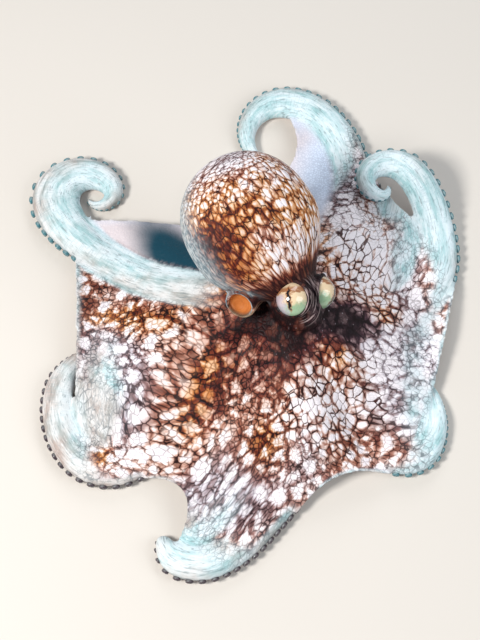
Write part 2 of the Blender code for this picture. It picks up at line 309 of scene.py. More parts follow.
EYES: tuple[EyePlan, ...] = (
    EyePlan("eye_right", (-0.2, -3.6, 66.0), (-0.29, -0.36, 0.887)),
    EyePlan("eye_left", (12.8, 4.1, 56.0), (0.906, -0.158, 0.392)),
)
EYE_RADIUS = 8.2


class Tint(Enum):
    """What a marking adds to the skin."""

    DARK = 0
    BROWN = 1
    WHITE = 2
    COOL = 3
    MANTLE_SHADOW = 4
    PEBBLE = 5
    GLINT = 6
    PALE = 7


@dataclass(frozen=True)
class Marking:
    """One soft oval marking, seen from above.

    Attributes:
        tint: What it adds.
        place: Its middle, from the crown.
        size: Half length and half width.
        turn: Direction of its length, in degrees.
        amount: How strong it is.
    """

    tint: Tint
    place: tuple[float, float]
    size: tuple[float, float]
    turn: float = 0.0
    amount: float = 1.0

    def over(self, points: np.ndarray) -> np.ndarray:
        """Returns how strong it is at each point."""
        c, s = math.cos(math.radians(self.turn)), math.sin(math.radians(self.turn))
        x, y = points[:, 0] - self.place[0], points[:, 1] - self.place[1]
        along, across = x * c + y * s, y * c - x * s
        return self.amount * np.exp(-(along / self.size[0]) ** 2 - (across / self.size[1]) ** 2)


MARKINGS: tuple[Marking, ...] = (
    Marking(Tint.DARK, (-2, -8), (26, 17)),
    Marking(Tint.DARK, (30, -5), (14, 12)),
    Marking(Tint.DARK, (-30, -8), (20, 9), 10, 0.6),
    Marking(Tint.DARK, (-8, -29), (22, 12), 25, 0.6),
    Marking(Tint.DARK, (-36, -32), (16, 8), 60, 0.35),
    Marking(Tint.BROWN, (-45, -36), (30, 12), 63),
    Marking(Tint.BROWN, (-84, 8), (30, 9), -12),
    Marking(Tint.BROWN, (-38, 13), (20, 9), amount=0.9),
    Marking(Tint.BROWN, (-13, -60), (9, 14), amount=0.8),
    Marking(Tint.BROWN, (23, -24), (11, 9), amount=0.7),
    Marking(Tint.BROWN, (-33, -113), (9, 5), -40, 0.5),
    Marking(Tint.BROWN, (17, 42), (8, 26), 10, 0.6),
    Marking(Tint.BROWN, (50, 4), (13, 9), amount=0.6),
    Marking(Tint.BROWN, (-97, -65), (7, 7), amount=0.8),
    Marking(Tint.WHITE, (14, -46), (22, 12), amount=0.8),
    Marking(Tint.WHITE, (42, -22), (14, 12), amount=0.7),
    Marking(Tint.WHITE, (38, 38), (16, 28)),
    Marking(Tint.WHITE, (-22, -92), (24, 12), amount=0.3),
    Marking(Tint.WHITE, (-76, -66), (28, 11), 10, 0.9),
    Marking(Tint.WHITE, (-60, -6), (24, 8), -10, 0.6),
    Marking(Tint.WHITE, (78, -10), (9, 26), amount=0.8),
    Marking(Tint.WHITE, (56, 26), (16, 30), amount=0.5),
    Marking(Tint.WHITE, (42, 60), (14, 12), amount=0.8),
    Marking(Tint.COOL, (-92, -26), (18, 34), amount=0.9),
    Marking(Tint.COOL, (64, 40), (12, 34), amount=0.6),
    Marking(Tint.COOL, (-34, -90), (32, 18), 20),
    Marking(Tint.COOL, (66, -24), (16, 28), amount=0.9),
    Marking(Tint.COOL, (31, -6), (16, 12)),
    Marking(Tint.COOL, (22, 95), (18, 36)),
    # painted shadow: deep blue-green where the mantle shades the web beside it
    Marking(Tint.MANTLE_SHADOW, (-60, 42), (38, 17), -52),
    Marking(Tint.PALE, (-98, -36), (11, 32), amount=0.9),
    Marking(Tint.PALE, (-38, -104), (28, 14), 30, 0.62),
    Marking(Tint.PALE, (67, 30), (13, 36), amount=0.8),
    Marking(Tint.PALE, (64, -40), (9, 26), amount=0.5),
    Marking(Tint.PALE, (58, 76), (13, 10)),
    Marking(Tint.PEBBLE, (20, -42), (36, 30), 10),
    Marking(Tint.PEBBLE, (46, 14), (24, 30), 60, 0.7),
    Marking(Tint.PEBBLE, (38, 38), (16, 34), amount=0.8),
    # painted highlights: where small bright glints lie on the skin round the head
    Marking(Tint.GLINT, (20, -8), (20, 14), amount=0.8),
    Marking(Tint.GLINT, (0, -24), (12, 8), amount=0.6),
)

PULLS: tuple[Pull, ...] = (
    Pull((-58, -14), 34, -38, 0.50),
    Pull((-96, -42), 24, 84, 0.50, 0.5),
    Pull((-26, -88), 34, 52, 0.50, 0.6),
    Pull((48, 36), 36, 64, 0.50, 0.4),
    Pull((52, -40), 30, 12, 0.30, 0.2),
)


class Frame:
    """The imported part's frame and the way into it from millimetres round the crown."""

    def __init__(self) -> None:
        """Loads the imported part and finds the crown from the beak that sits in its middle."""
        self.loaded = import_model()
        self.cad_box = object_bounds()
        low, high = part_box("beak")
        self.crown = Vector((0.5 * (low.x + high.x), 0.5 * (low.y + high.y), 0.0))

    def place(self, bm: bmesh.types.BMesh) -> None:
        """Turns a mesh in millimetres round the crown into the part's frame, in metres."""
        bmesh.ops.scale(bm, vec=(MM, MM, MM), verts=bm.verts)
        bmesh.ops.translate(bm, vec=self.crown, verts=bm.verts)

    def local(self, mesh: bpy.types.Mesh) -> np.ndarray:
        """Returns a finished mesh's vertices in millimetres round the crown."""
        flat = np.zeros(len(mesh.vertices) * 3)
        mesh.vertices.foreach_get("co", flat)
        return (flat.reshape(-1, 3) - np.array(self.crown)) / MM

    def put(self, mesh: bpy.types.Mesh, points: np.ndarray) -> None:
        """Writes vertices given in millimetres round the crown back to a finished mesh."""
        mesh.vertices.foreach_set("co", (points * MM + np.array(self.crown)).ravel())
        mesh.update()


def to_object(name: str, bm: bmesh.types.BMesh) -> bpy.types.Object:
    """Makes a smooth-shaded object at the origin from a mesh already in the part's frame."""
    bmesh.ops.recalc_face_normals(bm, faces=bm.faces)
    mesh = bpy.data.meshes.new(name)
    bm.to_mesh(mesh)
    bm.free()
    for polygon in mesh.polygons:
        polygon.use_smooth = True
    made = bpy.data.objects.new(name, mesh)
    bpy.context.scene.collection.objects.link(made)
    return made


def settle(piece: bpy.types.Object) -> None:
    """Applies an object's modifiers to its mesh."""
    graph = bpy.context.evaluated_depsgraph_get()
    fresh = bpy.data.meshes.new_from_object(piece.evaluated_get(graph))
    piece.modifiers.clear()
    old = piece.data
    piece.data = fresh
    fresh.name = piece.name
    bpy.data.meshes.remove(old)


def reshape(verts: Iterable[bmesh.types.BMVert],
            rule: Callable[[np.ndarray], np.ndarray]) -> None:
    """Moves vertices by a rule on the array of their positions."""
    chosen = list(verts)
    moved = rule(np.array([v.co for v in chosen]))
    for vert, point in zip(chosen, moved):
        vert.co = point


def gaze_frame(axis: Iterable[float]) -> np.ndarray:
    """Returns an eye's turn: first column across the slit, second along it, third outwards."""
    out = unit(axis)
    along = unit(np.array([0.0, 1.0, 0.0]) - out[1] * out)
    return np.column_stack([np.cross(along, out), along, out])


def frame_of(axis: Iterable[float]) -> np.ndarray:
    """Returns a turn whose third column is the axis and whose second leans upwards."""
    along = unit(axis)
    across = unit(np.cross(along, (0.0, 0.0, 1.0)))
    return np.column_stack([across, np.cross(across, along), along])


# ---------------------------------------------------------------------------- materials


class Graph:
    """Builds one node material in plain steps."""

    def __init__(self, name: str) -> None:
        """Starts an empty material with a Principled shader."""
        self.material = bpy.data.materials.new(name)
        self.material.use_nodes = True
        self.tree = self.material.node_tree
        self.shader = self.tree.nodes["Principled BSDF"]

    def put(self, kind: str, inputs: Optional[dict] = None, **settings: object) -> bpy.types.Node:
        """Adds a node, sets its options and fills its inputs with numbers or links."""
        node = self.tree.nodes.new(kind)
        for key, value in settings.items():
            setattr(node, key, value)
        for key, value in (inputs or {}).items():
            self.feed(node.inputs[key], value)
        return node

    def feed(self, socket: Socket, value: object) -> None:
        """Links a socket or sets its number."""
        if isinstance(value, Socket):
            self.tree.links.new(value, socket)
        else:
            socket.default_value = value

    def attribute(self, name: str) -> bpy.types.Node:
        """Reads a per-vertex attribute."""
        return self.put("ShaderNodeAttribute", attribute_name=name)

    def split(self, colour: Socket) -> tuple[Socket, ...]:
        """Splits a colour or vector into three numbers."""
        node = self.put("ShaderNodeSeparateColor", {0: colour})
        return node.outputs[0], node.outputs[1], node.outputs[2]

    def shares(self, name: str) -> tuple[Socket, ...]:
        """Reads the three shares that one painted attribute holds."""
        return self.split(self.attribute(name).outputs["Color"])

    def maths(self, kind: str, a: object, b: object = 0.0) -> Socket:
        """Adds one Math node."""
        return self.put("ShaderNodeMath", {0: a, 1: b}, operation=kind).outputs[0]

    def mul(self, a: object, b: object) -> Socket:
        """Multiplies."""
        return self.maths("MULTIPLY", a, b)

    def add(self, a: object, b: object) -> Socket:
        """Adds."""
        return self.maths("ADD", a, b)

    def sub(self, a: object, b: object) -> Socket:
        """Subtracts."""
        return self.maths("SUBTRACT", a, b)

    def swing(self, cloud: object, amount: float) -> Socket:
        """Centres a cloud of 0 to 1 on zero and scales it."""
        return self.mul(self.sub(cloud, 0.5), amount)

    def fit(self, value: object, low: float, high: float, out_low: float = 0.0,
            out_high: float = 1.0) -> Socket:
        """Eases a value from one range to another."""
        return self.put("ShaderNodeMapRange", {0: value, 1: low, 2: high, 3: out_low, 4: out_high},
                        interpolation_type="SMOOTHSTEP").outputs[0]

    def mix(self, factor: object, a: object, b: object) -> Socket:
        """Mixes two colours."""
        node = self.put("ShaderNodeMix", {0: factor, 6: a, 7: b}, data_type="RGBA",
                        clamp_factor=True)
        return node.outputs[2]

    def scale(self, vector: object, factors: tuple[float, float, float]) -> Socket:
        """Scales a vector."""
        return self.put("ShaderNodeMapping", {0: vector, 3: factors}).outputs[0]

    def noise(self, vector: object, size: float, detail: float = 3.0, rough: float = 0.55,
              colour: bool = False) -> Socket:
        """Adds noise of one size, in the vector's own unit."""
        node = self.put("ShaderNodeTexNoise", {"Vector": vector, "Scale": 1.0 / size,
                                               "Detail": detail, "Roughness": rough})
        return node.outputs[1 if colour else 0]

    def warp(self, vector: object, size: float, amount: float) -> Socket:
        """Wobbles a vector by noise."""
        wobble = self.put("ShaderNodeVectorMath",
                          {0: self.noise(vector, size, 2.0, colour=True), 1: (0.5, 0.5, 0.5)},
                          operation="SUBTRACT").outputs[0]
        node = self.put("ShaderNodeVectorMath", {0: wobble, 1: (amount,) * 3, 2: vector},
                        operation="MULTIPLY_ADD")
        return node.outputs[0]

    def cells(self, vector: object, size: float, chaos: float = 0.9) -> tuple[Socket, ...]:
        """Adds a net of cells.

        Args:
            vector: Where to read it.
            size: Width of a cell, in the vector's own unit.
            chaos: How uneven the cells are.

        Returns:
            Distance from the nearest line of the net, a random number for each cell, and the
            place of its middle.
        """
        settings = {"Vector": vector, "Scale": 1.0 / size, "Randomness": chaos}
        edge = self.put("ShaderNodeTexVoronoi", settings, feature="DISTANCE_TO_EDGE")
        cell = self.put("ShaderNodeTexVoronoi", settings, feature="F1")
        return (edge.outputs["Distance"], self.split(cell.outputs["Color"])[0],
                cell.outputs["Position"])

    def spots(self, vector: object, size: float) -> Socket:
        """Returns the distance from the middle of the nearest of many scattered spots."""
        node = self.put("ShaderNodeTexVoronoi", {"Vector": vector, "Scale": 1.0 / size,
                                                 "Randomness": 1.0}, feature="F1")
        return node.outputs["Distance"]

    def ramp(self, value: object, stops: Iterable[tuple[float, Colour]]) -> Socket:
        """Turns a number into a colour by a list of stops."""
        node = self.put("ShaderNodeValToRGB", {0: value})
        elements = node.color_ramp.elements
        stops = list(stops)
        while len(elements) < len(stops):
            elements.new(0.5)
        for element, (position, colour) in zip(elements, stops):
            element.position = position
            element.color = colour
        return node.outputs[0]

    def bump(self, height: object, distance: float, strength: float = 1.0) -> None:
        """Feeds a bump to the shader's normal."""
        node = self.put("ShaderNodeBump", {"Height": height, "Distance": distance,
                                           "Strength": strength})
        self.feed(self.shader.inputs["Normal"], node.outputs[0])

    def finish(self, **inputs: object) -> bpy.types.Material:
        """Sets the shader's own inputs, named with underscores, and returns the material."""
        for key, value in inputs.items():
            self.feed(self.shader.inputs[key.replace("_", " ")], value)
        return self.material


class SkinReads:
    """What the skin's material reads: the shares that Coat paints, and the nets over them.

    Attributes:
        fine, tiny, round_edge, broad: Distance from the nearest line of each net.
        fine_cell, round_cell, broad_cell: A random number for each of its cells.
        blotch, patch, grain, vary: Clouds of several sizes.
        ragged: What frays the large spots' edges.
        spot: Large white spots.
    """

    def __init__(self, g: Graph) -> None:
        """Reads the painted attributes and lays the nets and clouds."""
        self.place = g.attribute("net_place").outputs["Vector"]
        self.flow = g.attribute("flow_place").outputs["Vector"]
        self.brown, self.dark, self.cool = g.shares("tint")
        self.net, self.pale, self.plain = g.shares("look")
        self.bag, self.under, self.bore = g.shares("region")
        # wash: white markings, the painted shadow of the mantle and its painted sheen
        self.whiten, self.mantle_shadow, self.painted_sheen = g.shares("wash")
        self.streak, self.warmth, self.fold = g.shares("lie")
        self.curl, self.hem, self.band = g.shares("trim")
        pebble, self.olive, self.glint = g.shares("grain")

        wobbly = g.warp(g.warp(self.place, 6.0, 2.2), 1.5, 0.6)
        self.fine, self.fine_cell, middle = g.cells(wobbly, 2.5)
        self.tiny, _, _ = g.cells(wobbly, 1.2)
        bent = g.warp(g.warp(self.place, 9.0, 3.0), 2.0, 0.8)
        self.round_edge, self.round_cell, _ = g.cells(bent, 4.4, 1.0)
        lobes = g.warp(g.warp(g.scale(self.place, (1.0, 1.0, 1.5)), 12.0, 5.0), 3.0, 2.2)
        self.broad, self.broad_cell, _ = g.cells(lobes, 8.0, 0.95)

        eased = g.mix(0.22, self.place, middle)
        self.blotch = g.noise(eased, 12.0, 3.0, 0.6)
        self.patch = g.noise(self.place, 36.0, 1.5, 0.5)
        self.grain = g.noise(eased, 3.4, 2.0, 0.6)
        self.vary = g.fit(g.noise(self.place, 7.0, 2.0), 0.3, 0.7)
        self.ragged = g.swing(g.noise(self.place, 2.6, 2.0), 0.30)
        self.pebble = g.fit(g.add(pebble, g.swing(self.blotch, 0.8)), 0.40, 0.62)
        self.spot = self.spots(g)

    def spots(self, g: Graph) -> Socket:
        """Returns the white spots in the cells of the broad net, more of them where it is whiter."""
        shape = g.fit(g.add(g.add(self.broad, self.ragged), g.mul(self.whiten, 0.12)), 0.03, 0.28)
        chosen = g.add(g.add(self.broad_cell, g.mul(self.whiten, 0.5)), g.mul(self.patch, 0.6))
        return g.mul(shape, g.fit(chosen, 0.10, 0.5))


@dataclass(frozen=True)
class SkinFinish:
    """The living skin: a dark net over white spots, orange and brown, turning pale and blue.

    The steps take the graph g and what it reads, r, and material joins them.
    """

    # from the lines to the spots: pinkish brown, golden, cool
    ink: Colour = tone(18, 6, 8)
    maroon: Colour = tone(74, 26, 24)
    russet: Colour = tone(116, 56, 42)
    rust: Colour = tone(150, 92, 72)
    tan: Colour = tone(194, 148, 130)
    peach: Colour = tone(228, 200, 188)
    white: Colour = tone(243, 236, 240)
    ember: Colour = tone(124, 54, 26)
    gold: Colour = tone(194, 124, 68)
    apricot: Colour = tone(232, 190, 152)
    night: Colour = tone(22, 18, 28)
    plum: Colour = tone(74, 50, 58)
    mauve: Colour = tone(146, 120, 122)
    lilac: Colour = tone(200, 192, 200)

    # lines of the net on light skin, cool skin and pale limbs
    liver: Colour = tone(68, 32, 28)
    ash: Colour = tone(62, 56, 66)
    steel: Colour = tone(92, 112, 122)

    # pale limbs, their streaks and tips
    turquoise: Colour = tone(158, 198, 201)
    ice: Colour = tone(222, 236, 241)
    cream: Colour = tone(214, 208, 204)
    sand: Colour = tone(172, 156, 148)
    shell: Colour = tone(232, 238, 240)
    smoke: Colour = tone(110, 124, 128)
    sea: Colour = tone(104, 142, 150)
    haze: Colour = tone(96, 132, 146)

    # smooth webs, the painted shadow of the mantle, and the underside
    slate: Colour = tone(218, 231, 250)
    blush: Colour = tone(218, 207, 210)
    dusk: Colour = tone(112, 122, 150)
    shadow_blue_green: Colour = tone(20, 62, 78)
    under: Colour = tone(222, 214, 212)

    # painted sheen on the mantle's flank, then the funnel and lids
    painted_sheen: Colour = tone(120, 142, 152)
    sheen_highlight: Colour = tone(196, 208, 212)
    olive: Colour = tone(150, 138, 108)
    straw: Colour = tone(206, 184, 150)
    mouth: Colour = tone(168, 86, 30)
    amber: Colour = tone(206, 132, 70)
    pleat: Colour = tone(168, 148, 146)

    def lightness(self, g: Graph, r: SkinReads) -> Socket:
        """Works out how light the skin is between the lines, with painted shade on the round knobs.
        """
        light = g.add(0.42, g.swing(r.blotch, 0.84))
        light = g.add(light, g.swing(r.patch, 0.4))
        light = g.add(light, g.swing(r.grain, 0.34))
        light = g.sub(light, g.mul(r.brown, 0.10))
        light = g.add(light, g.mul(g.maths("MAXIMUM", r.whiten, g.mul(r.bag, 0.7)), 0.17))
        light = g.add(light, g.mul(r.spot, g.sub(0.56, g.mul(r.bag, 0.10))))
        light = g.add(light, g.swing(r.fine_cell, 0.06))
        # round knobs: a random tone for each, and painted shade, lighter in the middle and darker at
        # the edge
        knob_tone_and_shade = g.add(g.swing(r.round_cell, 0.26), g.fit(r.round_edge, 0.0, 0.34, -0.12, 0.10))
        light = g.add(light, g.mul(r.pebble, g.mul(knob_tone_and_shade, g.sub(1.0, g.mul(r.bag, 0.4)))))
        deep = g.mul(r.dark, g.fit(r.grain, 0.3, 0.7, 0.99, 0.82))
        light = g.mul(light, g.sub(1.0, g.mul(deep, g.sub(1.0, g.mul(r.spot, 0.26)))))
        ridge = g.maths("MINIMUM", g.add(r.fine, g.mul(r.pebble, 0.8)),
                        g.add(r.round_edge, g.mul(g.sub(1.0, r.pebble), 0.8)))
        fringe = g.fit(ridge, 0.26, 0.05)
        return g.sub(light, g.mul(fringe, g.mul(light, g.add(0.14, g.mul(r.bag, 0.06)))))

    def ground(self, g: Graph, r: SkinReads, light: Socket) -> Socket:
        """Colours the skin between the lines by its lightness: pinkish brown, golden or cool, with
        painted highlight glints.
        """
        warm = g.ramp(light, ((0.0, self.ink), (0.10, self.maroon), (0.22, self.russet),
                              (0.37, self.rust), (0.52, self.tan), (0.68, self.peach),
                              (0.86, self.white)))
        golden = g.ramp(light, ((0.0, self.ink), (0.09, self.maroon), (0.26, self.ember),
                                (0.46, self.gold), (0.66, self.apricot), (0.88, self.white)))
        cold = g.ramp(light, ((0.0, self.night), (0.16, self.plum), (0.40, self.mauve),
                              (0.62, self.lilac), (0.84, self.white)))
        ochre = g.add(g.mul(r.brown, 0.85), g.swing(g.noise(r.place, 10.0, 2.0), 1.3))
        ochre = g.fit(g.add(ochre, g.mul(r.bag, 0.32)), 0.25, 0.75)
        chill = g.add(g.mul(r.cool, 0.9), g.mul(g.sub(r.patch, 0.36), 1.1))
        chill = g.fit(g.sub(g.sub(chill, r.brown), g.mul(r.bag, 0.25)), 0.0, 0.7)
        body = g.mix(chill, g.mix(ochre, warm, golden), cold)
        body = g.mix(g.mul(g.fit(r.dark, 0.84, 1.0), 0.62), body, self.ink)
        # painted highlights: small bright glints
        painted_glints = g.fit(g.spots(r.place, 2.6), 0.16, 0.08)
        painted_glints = g.mul(painted_glints, g.mul(r.glint, g.fit(r.grain, 0.42, 0.60, 0.0, 0.8)))
        return g.mix(painted_glints, body, self.lilac)

    def weave(self, g: Graph, r: SkinReads, light: Socket) -> Socket:
        """Works out how strong the net's lines are: fine, round on knobs, heavy round spots."""
        thick = g.add(g.add(0.022, g.mul(r.vary, 0.05)), g.mul(g.sub(0.9, light), 0.055))
        line = g.mul(g.fit(g.sub(r.fine, thick), 0.035, -0.025), g.sub(1.0, g.mul(r.pebble, 0.8)))
        thick = g.mul(thick, g.sub(0.66, g.mul(r.bag, 0.12)))
        soft = g.sub(0.03, g.mul(r.bag, 0.012))
        ringed = g.mul(g.fit(g.sub(r.round_edge, thick), soft, -0.012), r.pebble)
        line = g.maths("MAXIMUM", line, ringed)
        heavy = g.mul(g.fit(g.add(r.broad, r.ragged), 0.05, 0.0), g.fit(light, 0.8, 0.3))
        veil = g.mul(g.fit(r.tiny, 0.13, 0.03), g.mul(r.vary, 0.26))
        weave = g.mul(line, g.fit(r.vary, 0.0, 1.0, 0.86, 1.0))
        weave = g.mul(weave, g.sub(1.0, g.mul(r.spot, g.mul(0.5, g.sub(1.0, r.pebble)))))
        weave = g.maths("MAXIMUM", weave, g.mul(heavy, 0.45))
        return g.mul(g.maths("MAXIMUM", weave, veil), r.net)

    def lines(self, g: Graph, r: SkinReads, light: Socket) -> Socket:
        """Colours the net's lines: darkest on dark skin, greyer where it is cool or pale."""
        faded = g.maths("MAXIMUM", g.fit(light, 0.15, 1.0), g.mul(r.bag, 0.3))
        ink = g.mix(faded, self.ink, self.liver)
        ink = g.mix(g.mul(r.cool, g.fit(light, 0.1, 0.7, 0.0, 0.7)), ink, self.ash)
        return g.mix(g.mul(r.pale, 0.8), ink, self.steel)

    def limbs(self, g: Graph, r: SkinReads) -> Socket:
        """Colours the pale arms and margins, with fine streaks along them and rings at the tips."""
        broad = g.noise(g.scale(r.flow, (0.22, 1.0, 1.0)), 4.2, 3.0, 0.6)
        cloud = g.noise(r.place, 15.0, 3.0, 0.55)
        soft = g.mix(r.streak, cloud, broad)
        cold = g.mix(g.fit(soft, 0.28, 0.66), self.turquoise, self.ice)
        warm = g.mix(g.fit(soft, 0.36, 0.60), self.sand, self.cream)
        body = g.mix(g.fit(g.add(r.warmth, g.swing(cloud, 0.9)), 0.2, 0.8), cold, warm)
        body = g.mix(g.mul(r.brown, 0.85), body,
                     g.mix(g.fit(soft, 0.4, 0.6), self.sand, self.cream))
        hair = g.noise(g.scale(r.flow, (0.16, 1.0, 1.0)), 0.75, 2.0, 0.6)
        body = g.mix(g.mul(g.fit(hair, 0.54, 0.70), g.mul(r.streak, 0.55)), body, self.smoke)
        body = g.mix(g.mul(g.fit(hair, 0.44, 0.30), g.mul(r.streak, 0.5)), body, self.shell)
        rings = g.noise(g.scale(r.flow, (1.9, 0.16, 1.0)), 1.0, 1.0)
        body = g.mix(g.mul(g.fit(rings, 0.52, 0.66), g.mul(r.curl, 0.22)), body, self.sea)
        return g.mix(g.mul(r.band, 0.7), body, self.haze)

    def smooth_web(self, g: Graph, r: SkinReads) -> Socket:
        """Colours the smooth webs pinkish or bluish, with a deep blue-green painted shadow beside the
        mantle.
        """
        cloud = g.noise(r.place, 24.0, 2.0, 0.5)
        body = g.mix(g.fit(g.add(r.cool, g.swing(cloud, 0.9)), 0.1, 0.9), self.blush, self.slate)
        body = g.mix(g.mul(g.fit(r.tiny, 0.24, 0.03), g.add(0.08, g.mul(r.cool, 0.24))), body,
                     self.dusk)
        # painted shadow of the mantle, deep blue-green
        return g.mix(g.fit(g.add(r.mantle_shadow, g.swing(cloud, 0.5)), 0.12, 0.9), body, self.shadow_blue_green)

    def trims(self, g: Graph, r: SkinReads, body: Socket) -> Socket:
        """Lays the painted sheen on the mantle's flank, the funnel, lid folds, hems and underside
        over the rest.
        """
        # painted sheen: grey-blue to pale over the mantle's flank
        painted_sheen_tone = g.mix(g.fit(g.noise(r.place, 2.2, 3.0), 0.4, 0.6), self.painted_sheen, self.sheen_highlight)
        body = g.mix(g.mul(r.painted_sheen, 0.8), body, painted_sheen_tone)
        sleeve = g.mix(g.fit(g.noise(r.place, 4.0, 3.0), 0.35, 0.65), self.olive, self.straw)
        body = g.mix(r.olive, body, sleeve)
        creases = g.noise(g.scale(r.flow, (0.10, 1.0, 1.0)), 0.95, 2.0)
        body = g.mix(g.mul(r.fold, g.fit(creases, 0.50, 0.62)), body, self.pleat)
        body = g.mix(g.mul(r.hem, 0.8), body, self.cream)
        body = g.mix(r.under, body, g.mix(g.fit(r.blotch, 0.4, 0.6), self.under, self.blush))
        return g.mix(r.bore, body, g.mix(g.noise(r.place, 2.0), self.mouth, self.amber))

    def relief(self, g: Graph, r: SkinReads) -> Socket:
        """Works out the height of the knobs, the cells and the grain."""
        grid = g.add(g.mul(g.fit(r.fine, 0.0, 0.30), g.sub(0.6, g.mul(r.pebble, 0.4))),
                     g.mul(g.fit(r.round_edge, 0.0, 0.34), g.mul(r.pebble, 0.8)))
        height = g.add(grid, g.mul(g.fit(r.broad, 0.0, 0.3), 0.4))
        height = g.mul(height, r.net)
        height = g.add(height, g.mul(g.noise(r.place, 0.8, 2.0), 0.3))
        return g.add(height, g.mul(g.fit(g.noise(r.place, 3.6, 2.0), 0.3, 0.7), 0.25))

    def material(self) -> bpy.types.Material:
        """Builds the node material: ground, pale limbs, net, smooth webs, and trims last."""
        g = Graph("octopus_skin")
        r = SkinReads(g)
        light = self.lightness(g, r)
        frayed = g.swing(g.noise(r.place, 6.0, 2.0), 0.6)
        paled = g.fit(g.add(r.pale, frayed), 0.12, 0.72)
        body = g.mix(paled, self.ground(g, r, light), self.limbs(g, r))
        body = g.mix(self.weave(g, r, light), body, self.lines(g, r, light))
        body = g.mix(r.plain, body, self.smooth_web(g, r))
        body = self.trims(g, r, body)
        g.bump(self.relief(g, r), 0.00045, 0.5)
        rough = g.fit(g.noise(r.place, 5.0, 2.0), 0.3, 0.7, 0.46, 0.64)
        return g.finish(Base_Color=body, Roughness=rough, Specular_IOR_Level=0.14)


@dataclass(frozen=True)
class EyeFinish:
    """The eyeball: cream above and green below, with rusty strokes round a dark slit."""

    cream: Colour = tone(226, 202, 166)
    sage: Colour = tone(150, 182, 146)
    lavender: Colour = tone(184, 174, 194)
    rust: Colour = tone(146, 82, 34)
    black: Colour = tone(10, 7, 8)

    def material(self) -> bpy.types.Material:
        """Builds the node material: x across the slit, y along it, z out of the eye."""
        g = Graph("octopus_eye")
        place = g.attribute("eye_place").outputs["Vector"]
        axes = g.put("ShaderNodeSeparateXYZ", {0: place})
        x, y, z = axes.outputs[0], axes.outputs[1], axes.outputs[2]
        mottle = g.noise(place, 2.4, 3.0, 0.6)
        shift = g.swing(mottle, 7.0)
        body = g.mix(g.fit(g.add(y, shift), -1.0, -4.5), self.cream, self.sage)
        left = g.mul(g.fit(g.add(x, shift), -0.6, -3.4), g.fit(y, 3.4, 1.4))
        body = g.mix(g.mul(left, 0.75), body, self.lavender)
        arcs = g.noise(g.scale(place, (0.6, 1.7, 1.0)), 2.2, 2.0)
        strokes = g.mul(g.fit(g.add(g.mul(arcs, 8.0), y), 6.0, 7.6), g.fit(y, 6.4, 4.8))
        body = g.mix(g.mul(strokes, 0.85), body, self.rust)
        grain = g.fit(g.noise(place, 0.7, 2.0), 0.60, 0.72)
        body = g.mix(g.mul(grain, 0.35), body, self.rust)
        ragged = g.maths("ABSOLUTE", g.add(x, g.swing(g.noise(place, 1.7, 2.0), 2.6)))
        ragged = g.add(ragged, g.mul(g.maths("POWER", g.maths("ABSOLUTE", y), 3.0), 0.0045))
        body = g.mix(g.mul(g.fit(ragged, 1.7, 0.8), 0.8), body, self.rust)
        body = g.mix(g.fit(ragged, 0.95, 0.65), body, self.black)
        body = g.mix(g.fit(z, 2.9, 1.6), body, self.black)
        return g.finish(Base_Color=body, Roughness=0.14, Coat_Weight=1.0, Coat_Roughness=0.03)


@dataclass(frozen=True)
class SuckerFinish:
    """Suckers: dark grey to blue, with a paler rim and a dark cup."""

    dark: Colour = tone(62, 48, 56)
    blue: Colour = tone(66, 122, 132)
    rim: Colour = tone(176, 186, 184)

    def material(self) -> bpy.types.Material:
        """Builds the node material."""
        g = Graph("octopus_suckers")
        tint, rim, _ = g.shares("sucker")
        place = g.put("ShaderNodeTexCoord").outputs["Object"]
        mottle = g.noise(place, 0.0016, 3.0)
        body = g.mix(g.fit(g.add(tint, g.swing(mottle, 0.7)), 0.2, 0.8), self.dark, self.blue)
        body = g.mix(g.mul(rim, g.add(0.25, g.mul(tint, 0.3))), body, self.rim)
        g.bump(mottle, 0.0002, 0.5)
        return g.finish(Base_Color=body, Roughness=0.4, Coat_Weight=0.15)


@dataclass(frozen=True)
class HornFinish:
    """The beak: dark horn with browner grain."""

    dark: Colour = tone(20, 13, 10)
    brown: Colour = tone(72, 42, 24)

    def material(self) -> bpy.types.Material:
        """Builds the node material."""
        g = Graph("octopus_horn")
        place = g.put("ShaderNodeTexCoord").outputs["Object"]
        grain = g.noise(g.scale(place, (1.0, 1.0, 0.3)), 0.0008, 3.0)
        body = g.mix(grain, self.dark, self.brown)
        g.bump(grain, 0.0001, 0.4)
        return g.finish(Base_Color=body, Roughness=0.25)


# ---------------------------------------------------------------------------- the body


@dataclass
class Mantle:
    """The bag of the body, leaning back from the head."""

    centre: tuple[float, float, float] = (-19.3, 30.4, 74.5)
    azimuth: float = 128.0
    rise: float = 26.0
    half_length: float = 38.0
    half_width: float = 33.8
    half_depth: float = 22.5
    taper: float = 0.16

    def axis(self) -> np.ndarray:
        """Returns the direction from the neck to the tip."""
        azimuth, rise = math.radians(self.azimuth), math.radians(self.rise)
        return np.array([math.cos(rise) * math.cos(azimuth), math.cos(rise) * math.sin(azimuth),
                         math.sin(rise)])

    def inside(self, points: np.ndarray) -> np.ndarray:
        """Returns points in the bag's own frame: across, up and along, in millimetres."""
        return (points - np.array(self.centre)) @ frame_of(self.axis())

    def build(self, bm: bmesh.types.BMesh) -> None:
        """Adds the closed egg."""
        made = bmesh.ops.create_uvsphere(bm, u_segments=48, v_segments=40, radius=1.0)["verts"]
        turn = frame_of(self.axis())

        def egg(points: np.ndarray) -> np.ndarray:
            """Maps a ball to the bag."""
            t = np.clip(points[:, 2], -0.88, 1.0)
            ring = (1.0 - np.abs(t) ** 2.3) ** 0.5 * (1.0 - self.taper * ease(0.15, 0.86, -t))
            flat = np.hypot(points[:, 0], points[:, 1])
            flat[flat < 1e-6] = 1.0
            local = np.column_stack([points[:, 0] / flat * ring * self.half_width,
                                     points[:, 1] / flat * ring * self.half_depth,
                                     t * self.half_length])
            return local @ turn.T + np.array(self.centre)

        reshape(made, egg)


